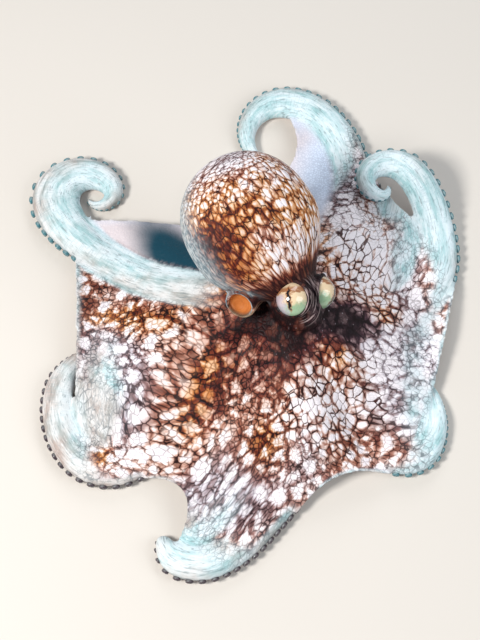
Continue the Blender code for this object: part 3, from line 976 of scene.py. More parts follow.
@dataclass
class Umbrella:
    """Arms and webs, as closed forms that overlap.

    Attributes:
        web_thickness: Thickness of a web.
        sucker_room: How far an arm is set back on the side that carries its suckers.
        least_radius: Radius below which no arm's tip goes.
        root_reach, tip_reach: How far an arm's form passes the ends of its course.
        flattening: Rounds of smoothing that a web's surface gets.
        block: Points measured against an arm at once.
        courses: Each arm's course.
        patches: Each web's surface.
    """

    web_thickness: float = 2.3
    sucker_room: float = 1.2
    least_radius: float = 1.15
    root_reach: float = 3.0
    tip_reach: float = 0.6
    flattening: int = 700
    block: int = 8000
    courses: dict[str, np.ndarray] = field(default_factory=dict)
    patches: list[np.ndarray] = field(default_factory=list)

    def __post_init__(self) -> None:
        """Works out each arm's course and each web's surface."""
        self.courses = {name: plan.course() for name, plan in ARMS.items()}
        self.patches = [self.patch(web) for web in WEBS]

    def at(self, name: str, s: np.ndarray) -> np.ndarray:
        """Returns rows of an arm's course at the lengths s."""
        course = self.courses[name]
        return np.column_stack([np.interp(s, course[:, 0], column) for column in course.T])

    def edge(self, name: str, end: float, side: float, count: int) -> np.ndarray:
        """Returns the line a web follows along one side of an arm."""
        course = self.courses[name]
        s = np.linspace(0.3, end, 200)
        heading = np.interp(s, course[:, 0], course[:, 4])
        # rows lie closer together where the arm turns
        cost = np.append(0.0, np.cumsum(np.diff(s) / 10.0
                                        + np.abs(np.diff(heading)) / math.radians(23.0)))
        rows = self.at(name, np.interp(np.linspace(0.0, cost[-1], count), cost, s))
        reach = side * (rows[:, 5] + 0.6)
        z = np.maximum(rows[:, 3] + 0.3 * rows[:, 6], 2.2)
        return np.column_stack([rows[:, 1] - reach * np.sin(rows[:, 4]),
                                rows[:, 2] + reach * np.cos(rows[:, 4]), z])

    def core(self, name: str, end: float, side: float, count: int) -> np.ndarray:
        """Returns a line inside the arm beside an edge, where the web is rooted."""
        line = self.edge(name, end, side, count)
        course = self.courses[name][:, 1:4]
        near = [course[np.argmin(((course - p) ** 2)[:, :2].sum(axis=1))] for p in line]
        inner = np.array(near)
        return np.column_stack([0.55 * inner[:, :2] + 0.45 * line[:, :2], line[:, 2]])

    def patch(self, web: WebPlan, rows: int = 56, columns: int = 26) -> np.ndarray:
        """Spans one web between its arms.

        Args:
            web: The web.
            rows: Points outwards.
            columns: Points across.

        Returns:
            Points, rows outwards by columns across.
        """
        left = self.edge(web.first, web.first_end, 1.0, rows)
        right = self.edge(web.second, web.second_end, -1.0, rows)
        u = np.linspace(0.0, 1.0, columns)[:, None]
        chord = right[-1] - left[-1]
        pull = np.array([-chord[1], chord[0], 0.0]) / np.hypot(chord[0], chord[1])
        arch = 4.0 * u * (1.0 - u) * (pull * web.sag + np.array([0.0, 0.0, web.bow]))
        grid = np.zeros((rows, columns, 3))
        for i, t in enumerate(np.linspace(0.0, 1.0, rows)):
            grid[i] = left[i] * (1.0 - u) + right[i] * u + arch * t
        for _ in range(self.flattening):
            grid[1:-1, 1:-1] = 0.25 * (grid[2:, 1:-1] + grid[:-2, 1:-1]
                                       + grid[1:-1, 2:] + grid[1:-1, :-2])
        first = self.core(web.first, web.first_end, 1.0, rows)[:, None]
        last = self.core(web.second, web.second_end, -1.0, rows)[:, None]
        return np.concatenate([first, grid, last], axis=1)

    def add_arm(self, bm: bmesh.types.BMesh, name: str) -> None:
        """Adds one arm as a long closed form, flat where it meets the floor."""
        plan = ARMS[name]
        course = self.courses[name]
        length = course[-1, 0]
        whole = length + (self.root_reach + self.tip_reach)
        made = bmesh.ops.create_uvsphere(bm, u_segments=20, v_segments=int(length / 1.6),
                                         radius=1.0)["verts"]

        def limb(points: np.ndarray) -> np.ndarray:
            """Maps a ball to the arm."""
            turned = np.arccos(np.clip(points[:, 2], -1.0, 1.0))
            s = whole * turned / math.pi - self.root_reach
            rows = self.at(name, np.clip(s, 0.0, length))
            spare = np.clip(s, None, 0.0) + np.clip(s - length, 0.0, None)
            around = np.arctan2(points[:, 1], points[:, 0])
            ends = np.minimum(s + self.root_reach, length + self.tip_reach - s)
            cap = np.sqrt(np.clip(1.0 - (1.0 - np.clip(ends / 1.2, 0.0, 1.0)) ** 2, 0.0, 1.0))
            width = np.maximum(rows[:, 5], self.least_radius) * cap
            height = np.maximum(rows[:, 6], self.least_radius) * cap
            c, t = np.cos(around), np.sin(around)
            side = np.sign(c) * np.abs(c) ** 0.85
            outer = side * plan.coil.value < 0.0
            room = np.where(outer, self.sucker_room * np.minimum(1.0, width / 7.0), 0.0)
            reach = side * (width - room)
            x = rows[:, 1] + spare * np.cos(rows[:, 4]) - reach * np.sin(rows[:, 4])
            y = rows[:, 2] + spare * np.sin(rows[:, 4]) + reach * np.cos(rows[:, 4])
            z = np.maximum(rows[:, 3] + t * height, 0.0)
            return np.column_stack([x, y, z])

        reshape(made, limb)

    def add_web(self, bm: bmesh.types.BMesh, patch: np.ndarray) -> None:
        """Adds one web as a thin closed sheet."""
        rows, columns = patch.shape[:2]
        grid = bmesh.ops.create_grid(bm, x_segments=columns - 1, y_segments=rows - 1, size=1.0)
        made = grid["verts"]

        def sheet(points: np.ndarray) -> np.ndarray:
            """Maps a square to the web's middle surface."""
            u = (points[:, 0] + 1.0) * 0.5 * (columns - 1)
            v = (points[:, 1] + 1.0) * 0.5 * (rows - 1)
            i = np.clip(np.rint(v).astype(int), 0, rows - 1)
            j = np.clip(np.rint(u).astype(int), 0, columns - 1)
            placed = patch[i, j].copy()
            placed[:, 2] -= 0.5 * self.web_thickness
            return placed

        reshape(made, sheet)
        faces = list({face for vert in made for face in vert.link_faces})
        raised = bmesh.ops.extrude_face_region(bm, geom=faces, use_keep_orig=True)["geom"]
        upper = [item for item in raised if isinstance(item, bmesh.types.BMVert)]
        bmesh.ops.translate(bm, vec=(0.0, 0.0, self.web_thickness), verts=upper)

    def on_arm(self, name: str, points: np.ndarray) -> np.ndarray:
        """Finds where points lie on one arm.

        Args:
            name: The arm.
            points: Places.

        Returns:
            Rows of length along it, offset to its left, half width there and distance from its
            middle line in half widths.
        """
        course = self.courses[name][::2]
        half = np.maximum(course[:, 5], self.least_radius) ** 2
        best = np.zeros(len(points), int)
        for start in range(0, len(points), self.block):
            chosen = slice(start, start + self.block)
            square = ((points[chosen, None, :] - course[None, :, 1:4]) ** 2).sum(axis=2)
            near, broad = np.argmin(square, axis=1), np.argmin(square / half, axis=1)
            row = np.arange(len(near))
            # a thin inner turn can be nearer than the broad one that the point lies on
            lost = ((square[row, near] > 1.8 * half[near])
                    & (square[row, broad] < 1.44 * half[broad]))
            best[chosen] = np.where(lost, broad, near)
        rows = course[best]
        away = points - rows[:, 1:4]
        c, s = np.cos(rows[:, 4]), np.sin(rows[:, 4])
        along = rows[:, 0] + np.clip(away[:, 0] * c + away[:, 1] * s, -0.6, 0.6)
        left = away[:, 1] * c - away[:, 0] * s
        width = np.maximum(rows[:, 5], self.least_radius)
        height = np.maximum(rows[:, 6], self.least_radius)
        return np.column_stack([along, left, width, np.hypot(left / width, away[:, 2] / height)])

    def on_web(self, points: np.ndarray) -> np.ndarray:
        """Finds where points lie on the nearest web.

        Args:
            points: Places.

        Returns:
            Rows of web number, share across, share outwards, distance to the web and distance
            to its free edge.
        """
        rows, columns = self.patches[0].shape[:2]
        every = np.concatenate([patch[:, 1:-1].reshape(-1, 3) for patch in self.patches])
        tree = kdtree.KDTree(len(every))
        for index, place in enumerate(every):
            tree.insert(place, index)
        tree.balance()
        hits = [tree.find(point) for point in points]
        index = np.array([hit[1] for hit in hits])
        reach = np.array([hit[2] for hit in hits])
        width = columns - 2
        web, rest = np.divmod(index, rows * width)
        i, j = np.divmod(rest, width)
        stack = np.stack([patch[:, 1:-1] for patch in self.patches])
        down, over = np.gradient(stack, axis=1)[web, i, j], np.gradient(stack, axis=2)[web, i, j]
        away = points - every[index]
        dd, oo, do = (down ** 2).sum(1), (over ** 2).sum(1), (down * over).sum(1)
        ad, ao = (away * down).sum(1), (away * over).sum(1)
        spread = np.maximum(dd * oo - do ** 2, 1e-6)
        di = np.clip((ad * oo - ao * do) / spread, -0.75, 0.75)
        dj = np.clip((ao * dd - ad * do) / spread, -0.75, 0.75)
        across = np.clip((j + dj) / (width - 1.0), 0.0, 1.0)
        out = np.clip((i + di) / (rows - 1.0), 0.0, 1.0)
        ends = np.array([0.5 * (plan.first_end + plan.second_end) for plan in WEBS])
        return np.column_stack([web, across, out, reach, (1.0 - out) * ends[web]])

    def build(self, bm: bmesh.types.BMesh) -> None:
        """Adds every arm and web."""
        for name in ARMS:
            self.add_arm(bm, name)
        for patch in self.patches:
            self.add_web(bm, patch)


@dataclass
class Head:
    """Crown, head, neck, eye mounds and funnel.

    Attributes:
        crown_radius, crown_low, crown_high: The ring that the arms leave from.
        skull, skull_radii: The head's own egg.
        neck_root, neck_radii: The neck, from the head to the mantle.
        neck_end: Where the neck ends, from the mantle's middle, as a share of its half length.
        mound: Thickness of the skin over an eyeball.
        lid_angle: Angle from an eye's axis at which its lids end, in degrees.
        funnel_root, funnel_mouth, funnel_radii: The funnel.
        funnel_bore: Radius of its hole.
        funnel_tilt: How much its mouth is turned up, in degrees.
    """

    crown_radius: float = 23.5
    crown_low: float = 35.0
    crown_high: float = 48.0
    skull: tuple[float, float, float] = (4.2, 0.2, 55.0)
    skull_radii: tuple[float, float, float] = (15.8, 15.4, 13.0)
    neck_root: tuple[float, float, float] = (5.0, -1.0, 54.0)
    neck_radii: tuple[float, float] = (13.0, 14.5)
    neck_end: float = 0.62
    mound: float = 2.0
    lid_angle: float = 72.0
    funnel_root: tuple[float, float, float] = (-18.5, 10.0, 54.5)
    funnel_mouth: tuple[float, float, float] = (-25.6, -3.8, 60.0)
    funnel_radii: tuple[float, float] = (8.8, 7.8)
    funnel_bore: float = 6.1
    funnel_tilt: float = 10.0

    def ball(self, bm: bmesh.types.BMesh, centre: Iterable[float], radii: Iterable[float]
             ) -> None:
        """Adds an egg with three radii."""
        made = bmesh.ops.create_uvsphere(bm, u_segments=36, v_segments=24, radius=1.0)["verts"]
        reshape(made, lambda p: p * np.array(list(radii)) + np.array(list(centre)))

    def tube(self, bm: bmesh.types.BMesh, start: Iterable[float], end: Iterable[float],
             radii: tuple[float, float]) -> None:
        """Adds a closed tapered tube with rounded ends."""
        a, b = np.array(list(start)), np.array(list(end))
        made = bmesh.ops.create_uvsphere(bm, u_segments=28, v_segments=30, radius=1.0)["verts"]
        turn = frame_of(b - a)
        length = float(np.linalg.norm(b - a))

        def taper(points: np.ndarray) -> np.ndarray:
            """Maps a ball to the tube."""
            t = 1.0 - np.arccos(np.clip(points[:, 2], -1.0, 1.0)) / math.pi
            radius = radii[0] + (radii[1] - radii[0]) * t
            ends = np.minimum(t, 1.0 - t) * length
            cap = np.sqrt(np.clip(1.0 - (1.0 - np.clip(ends / 1.5, 0.0, 1.0)) ** 2, 0.0, 1.0))
            around = np.arctan2(points[:, 1], points[:, 0])
            local = np.column_stack([np.cos(around) * radius * cap, np.sin(around) * radius * cap,
                                     t * length])
            return local @ turn.T + a

        reshape(made, taper)

    def build(self, bm: bmesh.types.BMesh, mantle: Mantle) -> None:
        """Adds the closed forms of the head, all overlapping."""
        middle = 0.5 * (self.crown_low + self.crown_high)
        half = 0.5 * (self.crown_high - self.crown_low)
        made = bmesh.ops.create_uvsphere(bm, u_segments=48, v_segments=24, radius=1.0)["verts"]

        def pad(points: np.ndarray) -> np.ndarray:
            """Maps a ball to a thick round pad."""
            flat = np.hypot(points[:, 0], points[:, 1])
            swell = np.where(flat > 1e-6, flat ** 0.45 / np.maximum(flat, 1e-6), 0.0)
            return np.column_stack([points[:, 0] * swell * self.crown_radius,
                                    points[:, 1] * swell * self.crown_radius,
                                    middle + points[:, 2] * half])

        reshape(made, pad)
        self.ball(bm, self.skull, self.skull_radii)
        neck = np.array(mantle.centre) - mantle.axis() * mantle.half_length * self.neck_end
        self.tube(bm, self.neck_root, neck, self.neck_radii)
        for eye in EYES:
            size = EYE_RADIUS + self.mound
            self.ball(bm, eye.centre, (size, size, size))
            base = np.array(eye.centre) - unit(eye.axis) * 8.0
            self.ball(bm, base, (size, size, size - 0.5))
        root, mouth = np.array(self.funnel_root), np.array(self.funnel_mouth)
        self.tube(bm, root, mouth + 2.4 * unit(mouth - root), self.funnel_radii)

    def lid_distance(self, points: np.ndarray, eye: EyePlan) -> tuple[np.ndarray, ...]:
        """Measures points from one eye.

        Returns:
            Distance from its centre, angle from its axis in degrees, share upwards, and
            direction from its centre.
        """
        away = points - np.array(eye.centre)
        reach = np.linalg.norm(away, axis=1)
        direction = away / np.maximum(reach, 1e-6)[:, None]
        angle = np.degrees(np.arccos(np.clip(direction @ unit(eye.axis), -1.0, 1.0)))
        return reach, angle, (direction @ frame_of(eye.axis))[:, 1], direction

    def sculpt_eye(self, points: np.ndarray, eye: EyePlan) -> np.ndarray:
        """Presses the eye's cup into the skin and raises its lids."""
        reach, angle, upper, direction = self.lid_distance(points, eye)
        past = angle - (self.lid_angle - 5.0 * np.clip(upper, 0.0, 1.0))
        cup = EYE_RADIUS - 1.0
        lid = EYE_RADIUS + 1.35 + 0.6 * np.clip(upper, 0.0, 1.0)
        folds = 0.30 * np.sin(np.radians(past) * 24.0) * ease(3.0, 9.0, past)
        rim = cup + (lid - cup) * ease(-5.0, 2.5, past) - 0.9 * ease(4.0, 16.0, past) + folds
        keep = ease(20.0, 46.0, past)
        wanted = rim * (1.0 - keep) + reach * keep
        near = ease(16.0, 13.0, reach) * (angle < 125.0)
        moved = reach * (1.0 - near) + wanted * near
        return np.array(eye.centre) + direction * moved[:, None]

    def from_funnel(self, points: np.ndarray) -> tuple[np.ndarray, np.ndarray]:
        """Measures points from the funnel: how far past its mouth, and from its middle line."""
        stem = unit(np.array(self.funnel_mouth) - np.array(self.funnel_root))
        rest = points - np.array(self.funnel_mouth)
        beyond = rest @ stem
        return beyond, np.linalg.norm(rest - np.outer(beyond, stem), axis=1)

    def mouth_frame(self) -> np.ndarray:
        """Returns the funnel mouth's own turn: it opens forwards and a little upwards."""
        along = unit(np.array(self.funnel_mouth) - np.array(self.funnel_root))
        tilt = math.radians(self.funnel_tilt)
        return frame_of(along * math.cos(tilt) + np.array([0.0, 0.0, 1.0]) * math.sin(tilt))

    def sculpt_funnel(self, points: np.ndarray) -> np.ndarray:
        """Hollows the funnel's mouth and turns its lip out."""
        mouth, turn = np.array(self.funnel_mouth), self.mouth_frame()
        local = (points - mouth) @ turn
        around = np.hypot(local[:, 0], local[:, 1])
        near = (around < 10.0) & (np.abs(local[:, 2]) < 7.0)
        flat = ease(-3.0, -1.0, local[:, 2]) * near
        local[:, 2] -= flat * np.clip(local[:, 2] - 0.2, 0.0, None)
        bowl = np.clip(1.0 - (around / self.funnel_bore) ** 2, 0.0, 1.0) ** 0.5
        local[:, 2] -= 4.6 * bowl * flat
        lip = np.exp(-((around - self.funnel_bore - 0.7) / 0.9) ** 2) * flat
        local[:, 2] += 0.8 * lip
        return local @ turn.T + mouth

    def wrinkle(self, points: np.ndarray, normals: np.ndarray) -> np.ndarray:
        """Folds the skin between and round the eyes."""
        right, left = (np.array(eye.centre) for eye in EYES)
        middle = 0.5 * (right + left) + np.array([0.0, 0.0, 4.0])
        along = (points - middle) @ unit(left - right)
        clear = np.minimum(np.linalg.norm(points - right, axis=1),
                           np.linalg.norm(points - left, axis=1))
        mask = ease(14.0, 7.0, np.linalg.norm(points - middle, axis=1))
        mask = mask * ease(EYE_RADIUS + 0.8, EYE_RADIUS + 2.0, clear)
        wave = np.sin(along * 4.4) + 0.5 * np.sin(along * 7.9 + 1.0)
        return points + normals * (0.26 * mask * wave)[:, None]


@dataclass
class Lie:
    """Where each point of the skin lies: on which arm, which web, the mantle or the head.

    Attributes:
        arm: Number of the nearest arm.
        along: Length along it.
        left: Offset to its left.
        outer: Share towards its sucker side, -1 to 1.
        on_arm: How surely the point is on that arm rather than a web.
        web: Number of the nearest web.
        across: Share across the web.
        out: Share outwards on the web.
        margin: Distance to the web's free edge.
        inner: 1 within the umbrella, 0 where the arm is free of webs.
        free: 1 where the arm's sucker side is free of webs.
    """

    umbrella: Umbrella
    points: np.ndarray
    arm: np.ndarray = field(init=False)
    along: np.ndarray = field(init=False)
    left: np.ndarray = field(init=False)
    outer: np.ndarray = field(init=False)
    on_arm: np.ndarray = field(init=False)
    web: np.ndarray = field(init=False)
    across: np.ndarray = field(init=False)
    out: np.ndarray = field(init=False)
    margin: np.ndarray = field(init=False)
    inner: np.ndarray = field(init=False)
    free: np.ndarray = field(init=False)

    def __post_init__(self) -> None:
        """Finds each point's place."""
        every = np.stack([self.umbrella.on_arm(name, self.points) for name in ARMS])
        self.arm = np.argmin(every[:, :, 3], axis=0)
        mine = every[self.arm, np.arange(len(self.points))]
        self.along, self.left = mine[:, 0], mine[:, 1]
        coil = np.array([plan.coil.value for plan in ARMS.values()])[self.arm]
        self.outer = np.clip(-self.left * coil / mine[:, 2], -1.0, 1.0)
        found = self.umbrella.on_web(self.points)
        self.web = found[:, 0].astype(int)
        self.across, self.out, self.margin = found[:, 1], found[:, 2], found[:, 4]
        self.on_arm = np.clip(ease(1.5, 0.95, mine[:, 3]) + ease(2.0, 5.0, found[:, 3]), 0.0, 1.0)
        held = {name: [] for name in ARMS}
        for web in WEBS:
            held[web.first].append(web.first_end)
            held[web.second].append(web.second_end)
        short = np.array([min(ends) for ends in held.values()])[self.arm]
        bounds = {web.first: web.first_end for web in WEBS
                  if ARMS[web.first].coil is Side.RIGHT}
        bounds.update({web.second: web.second_end for web in WEBS
                       if ARMS[web.second].coil is Side.LEFT})
        bound = np.array([bounds[name] for name in ARMS])[self.arm]
        self.free = ease(-8.0, 8.0, self.along - bound)
        self.inner = (self.on_arm * ease(0.0, -22.0, self.along - short)
                      + (1.0 - self.on_arm) * ease(4.0, 18.0, self.margin))

    def of_arm(self, values: Iterable[float]) -> np.ndarray:
        """Spreads one value for each arm over the points."""
        return np.array(list(values), float)[self.arm]

    def of_web(self, values: Iterable[float]) -> np.ndarray:
        """Spreads one value for each web over the points."""
        return np.array(list(values), float)[self.web]


@dataclass
class Coat:
    """The skin's paint: how much of each tint every vertex takes, and its places on the nets.

    Attributes:
        lie: Where the vertices lie.
        normals: Their normals.
        bag: 1 on the mantle, 0 elsewhere.
        head: The head, with its eyes and funnel.
        mantle: The mantle.
        crest: 1 on the head.
        off: 1 on arms and webs.
        reach: Distance from the crown's middle line.
        side, along, turn: Shares across and along the mantle, and the angle round it.
        pale, streak, warmth: How pale a limb is, how streaked, and how cream.
        net, plain: Strength of the net, and where a web has none.
        curl, hem, band: Loose tips, the webs' free edges and the edge by the suckers.
        brown, dark, whiten, cool, olive: Shares of the tints; dark also holds painted shade on the
            mantle.
        mantle_shadow: Painted shadow of the mantle on the web beside it.
        painted_sheen: Painted sheen on the mantle's flank.
        pebble, glint, fold: Round knobs, small painted highlights and the folds of the lids.
        under, bore: The underside and the funnel's hole.
        sleeve: The funnel's outside.
        away, way: Distance and direction from the right eye.
    """

    lie: Lie
    normals: np.ndarray
    bag: np.ndarray
    head: Head
    mantle: Mantle

    def __post_init__(self) -> None:
        """Paints region by region, each over the ones before it."""
        self.points = self.lie.points
        self.reach = np.hypot(self.points[:, 0], self.points[:, 1])
        self.crest = (ease(45.0, 51.0, self.points[:, 2]) * ease(29.0, 22.0, self.reach)
                      * (1.0 - self.bag))
        self.off = (1.0 - self.bag) * (1.0 - self.crest)
        inside = self.mantle.inside(self.points)
        self.side = inside[:, 0] / self.mantle.half_width
        self.along = inside[:, 2] / self.mantle.half_length
        self.turn = np.arctan2(inside[:, 1] / self.mantle.half_depth, self.side)
        self.paint_limbs()
        self.paint_ground()
        self.paint_mantle()
        self.paint_funnel()
        self.paint_lids()

    def marks(self, tint: Tint) -> np.ndarray:
        """Adds up the markings of one tint, within 0 to 1."""
        total = sum(mark.over(self.points) for mark in MARKINGS if mark.tint is tint)
        return np.clip(total, 0.0, 1.0)

    def web_pale(self) -> np.ndarray:
        """Returns how pale each web is: beside its arms' pale ends and at its free edge."""
        lie = self.lie
        firsts, seconds = [ARMS[web.first] for web in WEBS], [ARMS[web.second] for web in WEBS]
        first_ends = lie.of_web(web.first_end for web in WEBS)
        second_ends = lie.of_web(web.second_end for web in WEBS)
        pale = np.zeros(len(self.points))
        for plans, ends, share in ((firsts, first_ends, lie.across),
                                   (seconds, second_ends, 1.0 - lie.across)):
            spill = lie.of_web(plan.spill for plan in plans)
            start = lie.of_web(plan.pale_from for plan in plans)
            pale += (np.clip(1.0 - share / spill, 0.0, 1.0)
                     * ease(-4.0, 26.0, lie.out * ends - start))
        pale = np.clip(np.maximum(pale, 0.6 * ease(11.0, 0.0, lie.margin)), 0.0, 1.0)
        return np.maximum(pale, self.marks(Tint.PALE))

    def paint_limbs(self) -> None:
        """Paints arms and webs, dark by the crown and pale at their ends."""
        lie, on_arm, off = self.lie, self.lie.on_arm, self.off
        plans = list(ARMS.values())
        start = lie.of_arm(plan.pale_from for plan in plans)
        skew = lie.of_arm(plan.skew for plan in plans)
        arm_pale = ease(-12.0, 28.0, lie.along + skew * lie.outer - start)
        rim = ease(0.30, 0.85, lie.outer) * lie.free
        arm_pale = np.maximum(arm_pale, 0.9 * rim)
        web_pale = self.web_pale()
        self.pale = (on_arm * arm_pale + (1.0 - on_arm) * web_pale) * off
        self.streak = np.maximum(on_arm, ease(0.15, 0.6, web_pale)) * off
        warmth = lie.of_arm(plan.warmth for plan in plans)
        self.warmth = np.clip(warmth + 0.22 * lie.outer * on_arm, 0.0, 1.0)
        plain = (1.0 - on_arm) * lie.of_web(web.plain for web in WEBS) * off
        self.plain = plain * ease(0.10, 0.34, lie.out)
        bare = lie.of_arm(1.0 if name == BARE_ARM else 0.0 for name in ARMS) * on_arm
        self.net = 1.0 - self.pale * (0.62 + 0.36 * np.maximum(bare, ease(0.75, 0.98, self.pale)))
        self.curl = ease(0.0, 30.0, lie.along - start - 26.0) * on_arm
        sucker = lie.of_arm(plan.sucker_tint for plan in plans)
        self.band = ease(0.80, 0.98, lie.outer) * lie.free * on_arm * off * sucker
        self.hem = ease(1.3, 0.3, lie.margin) * (1.0 - on_arm) * off

    def paint_ground(self) -> None:
        """Lays the markings on head, arms and webs, and finds the underside."""
        bag, off = self.bag, self.off
        self.dark = np.maximum(self.marks(Tint.DARK) * (1.0 - bag), 0.97 * self.crest)
        self.brown = self.marks(Tint.BROWN) * off
        self.whiten = self.marks(Tint.WHITE) * off
        self.cool = np.maximum(self.marks(Tint.COOL) * off, 0.6 * self.pale)
        # painted shadow of the mantle on the web beside it
        self.mantle_shadow = self.marks(Tint.MANTLE_SHADOW) * off
        self.pebble = np.maximum(self.marks(Tint.PEBBLE) * off, bag)
        self.under = (ease(-0.15, -0.55, self.normals[:, 2]) * (1.0 - bag)
                      * ease(56.0, 50.0, self.points[:, 2]))

    def paint_mantle(self) -> None:
        """Paints the mantle: brown saddle, white and cool ends, painted shade and painted sheen on
        the flank.
        """
        bag, side, along = self.bag, self.side, self.along
        saddle = np.exp(-((along - 0.22 + 0.5 * side) / 0.34) ** 2)
        neck = ease(-0.56, -0.78, along)
        # painted shade: darker where the mantle faces left and forwards, most towards the neck
        shade = 0.9 * ease(0.0, 0.8, self.normals @ unit((-0.75, -0.45, 0.3)))
        apex = ease(0.62, 0.95, along)
        self.brown += bag * np.clip(0.55 * saddle + 0.6 * np.exp(-((side + 0.55) / 0.3) ** 2
                                                                 - ((along + 0.2) / 0.4) ** 2),
                                    0, 1)
        self.whiten += bag * np.clip(0.9 * np.exp(-((along + 0.45) / 0.28) ** 2) + 0.6 * apex
                                     + 0.5 * np.exp(-((side + 0.35) / 0.3) ** 2
                                                    - ((along - 0.3) / 0.3) ** 2), 0, 1)
        self.cool = np.clip(self.cool + 0.8 * bag * apex
                            + self.crest * ease(2.0, 16.0, self.points[:, 0]), 0.0, 1.0)
        self.dark = np.clip(self.dark + bag * (neck + shade * ease(0.7, 0.2, along)), 0.0, 1.0)
        # painted sheen: where the mantle's flank faces down and to the left
        self.painted_sheen = bag * ease(0.05, 0.75, self.normals @ unit((-0.86, -0.30, -0.42)))

    def paint_funnel(self) -> None:
        """Paints the funnel olive, with a dark line round its orange hole."""
        mouth = (self.points - np.array(self.head.funnel_mouth)) @ self.head.mouth_frame()
        around = np.hypot(mouth[:, 0], mouth[:, 1])
        bore = ease(self.head.funnel_bore + 0.2, self.head.funnel_bore - 0.7, around)
        self.bore = bore * (np.abs(mouth[:, 2]) < 7.0) * ease(0.9, 0.2, mouth[:, 2])
        beyond, girdle = self.head.from_funnel(self.points)
        self.sleeve = ease(10.6, 9.2, girdle) * ease(-15.0, -10.0, beyond) * (1.0 - self.bag)
        outline = np.exp(-((around - self.head.funnel_bore - 0.1) / 0.55) ** 2) * self.sleeve
        self.dark = np.clip(self.dark * (1.0 - 0.95 * self.sleeve) + 0.9 * outline, 0.0, 1.0)
        self.olive = 0.9 * self.sleeve * (1.0 - outline)
        self.net = self.net * (1.0 - 0.8 * self.sleeve)
        # painted highlights: small glints, kept off the mantle and the funnel
        self.glint = self.marks(Tint.GLINT) * (1.0 - self.bag) * (1.0 - self.sleeve)

    def paint_lids(self) -> None:
        """Darkens the lids and the skin round them, and finds their folds."""
        right, left = EYES
        self.away, _, _, self.way = self.head.lid_distance(self.points, right)
        crescent = np.clip(self.way @ unit((-0.8, 0.5, 0.0)) * 1.6 + 0.3, 0.0, 1.0)
        lid = ease(EYE_RADIUS + 1.4 + 4.2 * crescent, EYE_RADIUS + 0.4, self.away)
        sideways = self.way @ unit((0.95, 0.0, -0.1))
        fold = ease(17.0, 12.0, self.away) * ease(0.25, 0.7, sideways)
        far, _, _, out = self.head.lid_distance(self.points, left)
        lid = np.maximum(lid, 0.5 * ease(EYE_RADIUS + 1.6, EYE_RADIUS + 0.5, far))
        fold = np.maximum(fold, 0.8 * ease(EYE_RADIUS + 4.0, EYE_RADIUS + 2.0, far)
                          * ease(0.0, 0.5, -out[:, 0]))
        self.fold = fold * (1.0 - self.bag)
        ring = ease(EYE_RADIUS + 10.0, EYE_RADIUS + 3.5, self.away) * ease(0.75, 0.2, sideways)
        self.dark = np.maximum(self.dark, np.maximum(lid, 0.95 * ring * (1.0 - self.sleeve)))
        self.pale = self.pale * (1.0 - lid)
        # no painted sheen on the lids or the dark ring round the eye
        self.painted_sheen = self.painted_sheen * (1.0 - np.maximum(lid, ring))

    def net_place(self) -> np.ndarray:
        """Returns places on the net: in plan, but wrapped round the mantle and set apart there."""
        points, reach, along = self.points, self.reach, self.along
        angle = np.arctan2(points[:, 1], points[:, 0])
        spread = np.where(reach < 26.0, reach, 26.0 + (reach - 26.0) * 0.88)
        place = np.column_stack([np.cos(angle) * spread, np.sin(angle) * spread,
                                 points[:, 2] * 0.35])
        place[:, :2] += sum(pull.shift(points) for pull in PULLS)
        girth = 54.0 * np.clip(1.0 - np.clip(along, 0.0, 1.0) ** 4, 0.05, 1.0)
        wrapped = np.column_stack([np.cos(self.turn) * girth, np.sin(self.turn) * girth,
                                   29.0 * along + 7.0 * along ** 2 + 400.0])
        return np.where((self.bag > 0.5)[:, None], wrapped, place)

    def flow_place(self) -> np.ndarray:
        """Returns places along and across the arms, and round the eye where its lids fold."""
        flow = np.column_stack([self.lie.along, self.lie.left, 31.0 * self.lie.arm])
        around = np.arctan2(self.way[:, 1], self.way[:, 0])
        swirl = np.column_stack([9.0 * around, self.away, np.zeros(len(self.points))])
        return np.where((self.fold > 0.01)[:, None], swirl, flow)


@dataclass(frozen=True)
class Flat:
    """One part of the skin laid flat for baking: its box on the unwrap, and its faces."""

    box: tuple[float, float, float, float]
    faces: np.ndarray

    def lay(self, corners: np.ndarray, owner: np.ndarray, out: np.ndarray) -> None:
        """Fits the part's corners into its box at one scale, and writes them to out."""
        mine = self.faces[owner]
        if not mine.any():
            return
        low, high = corners[mine].min(axis=0), corners[mine].max(axis=0)
        room = np.array(self.box[2:]) - np.array(self.box[:2])
        scale = float(np.min(room / np.maximum(high - low, 1e-6)))
        out[mine] = np.array(self.box[:2]) + (corners[mine] - low) * scale


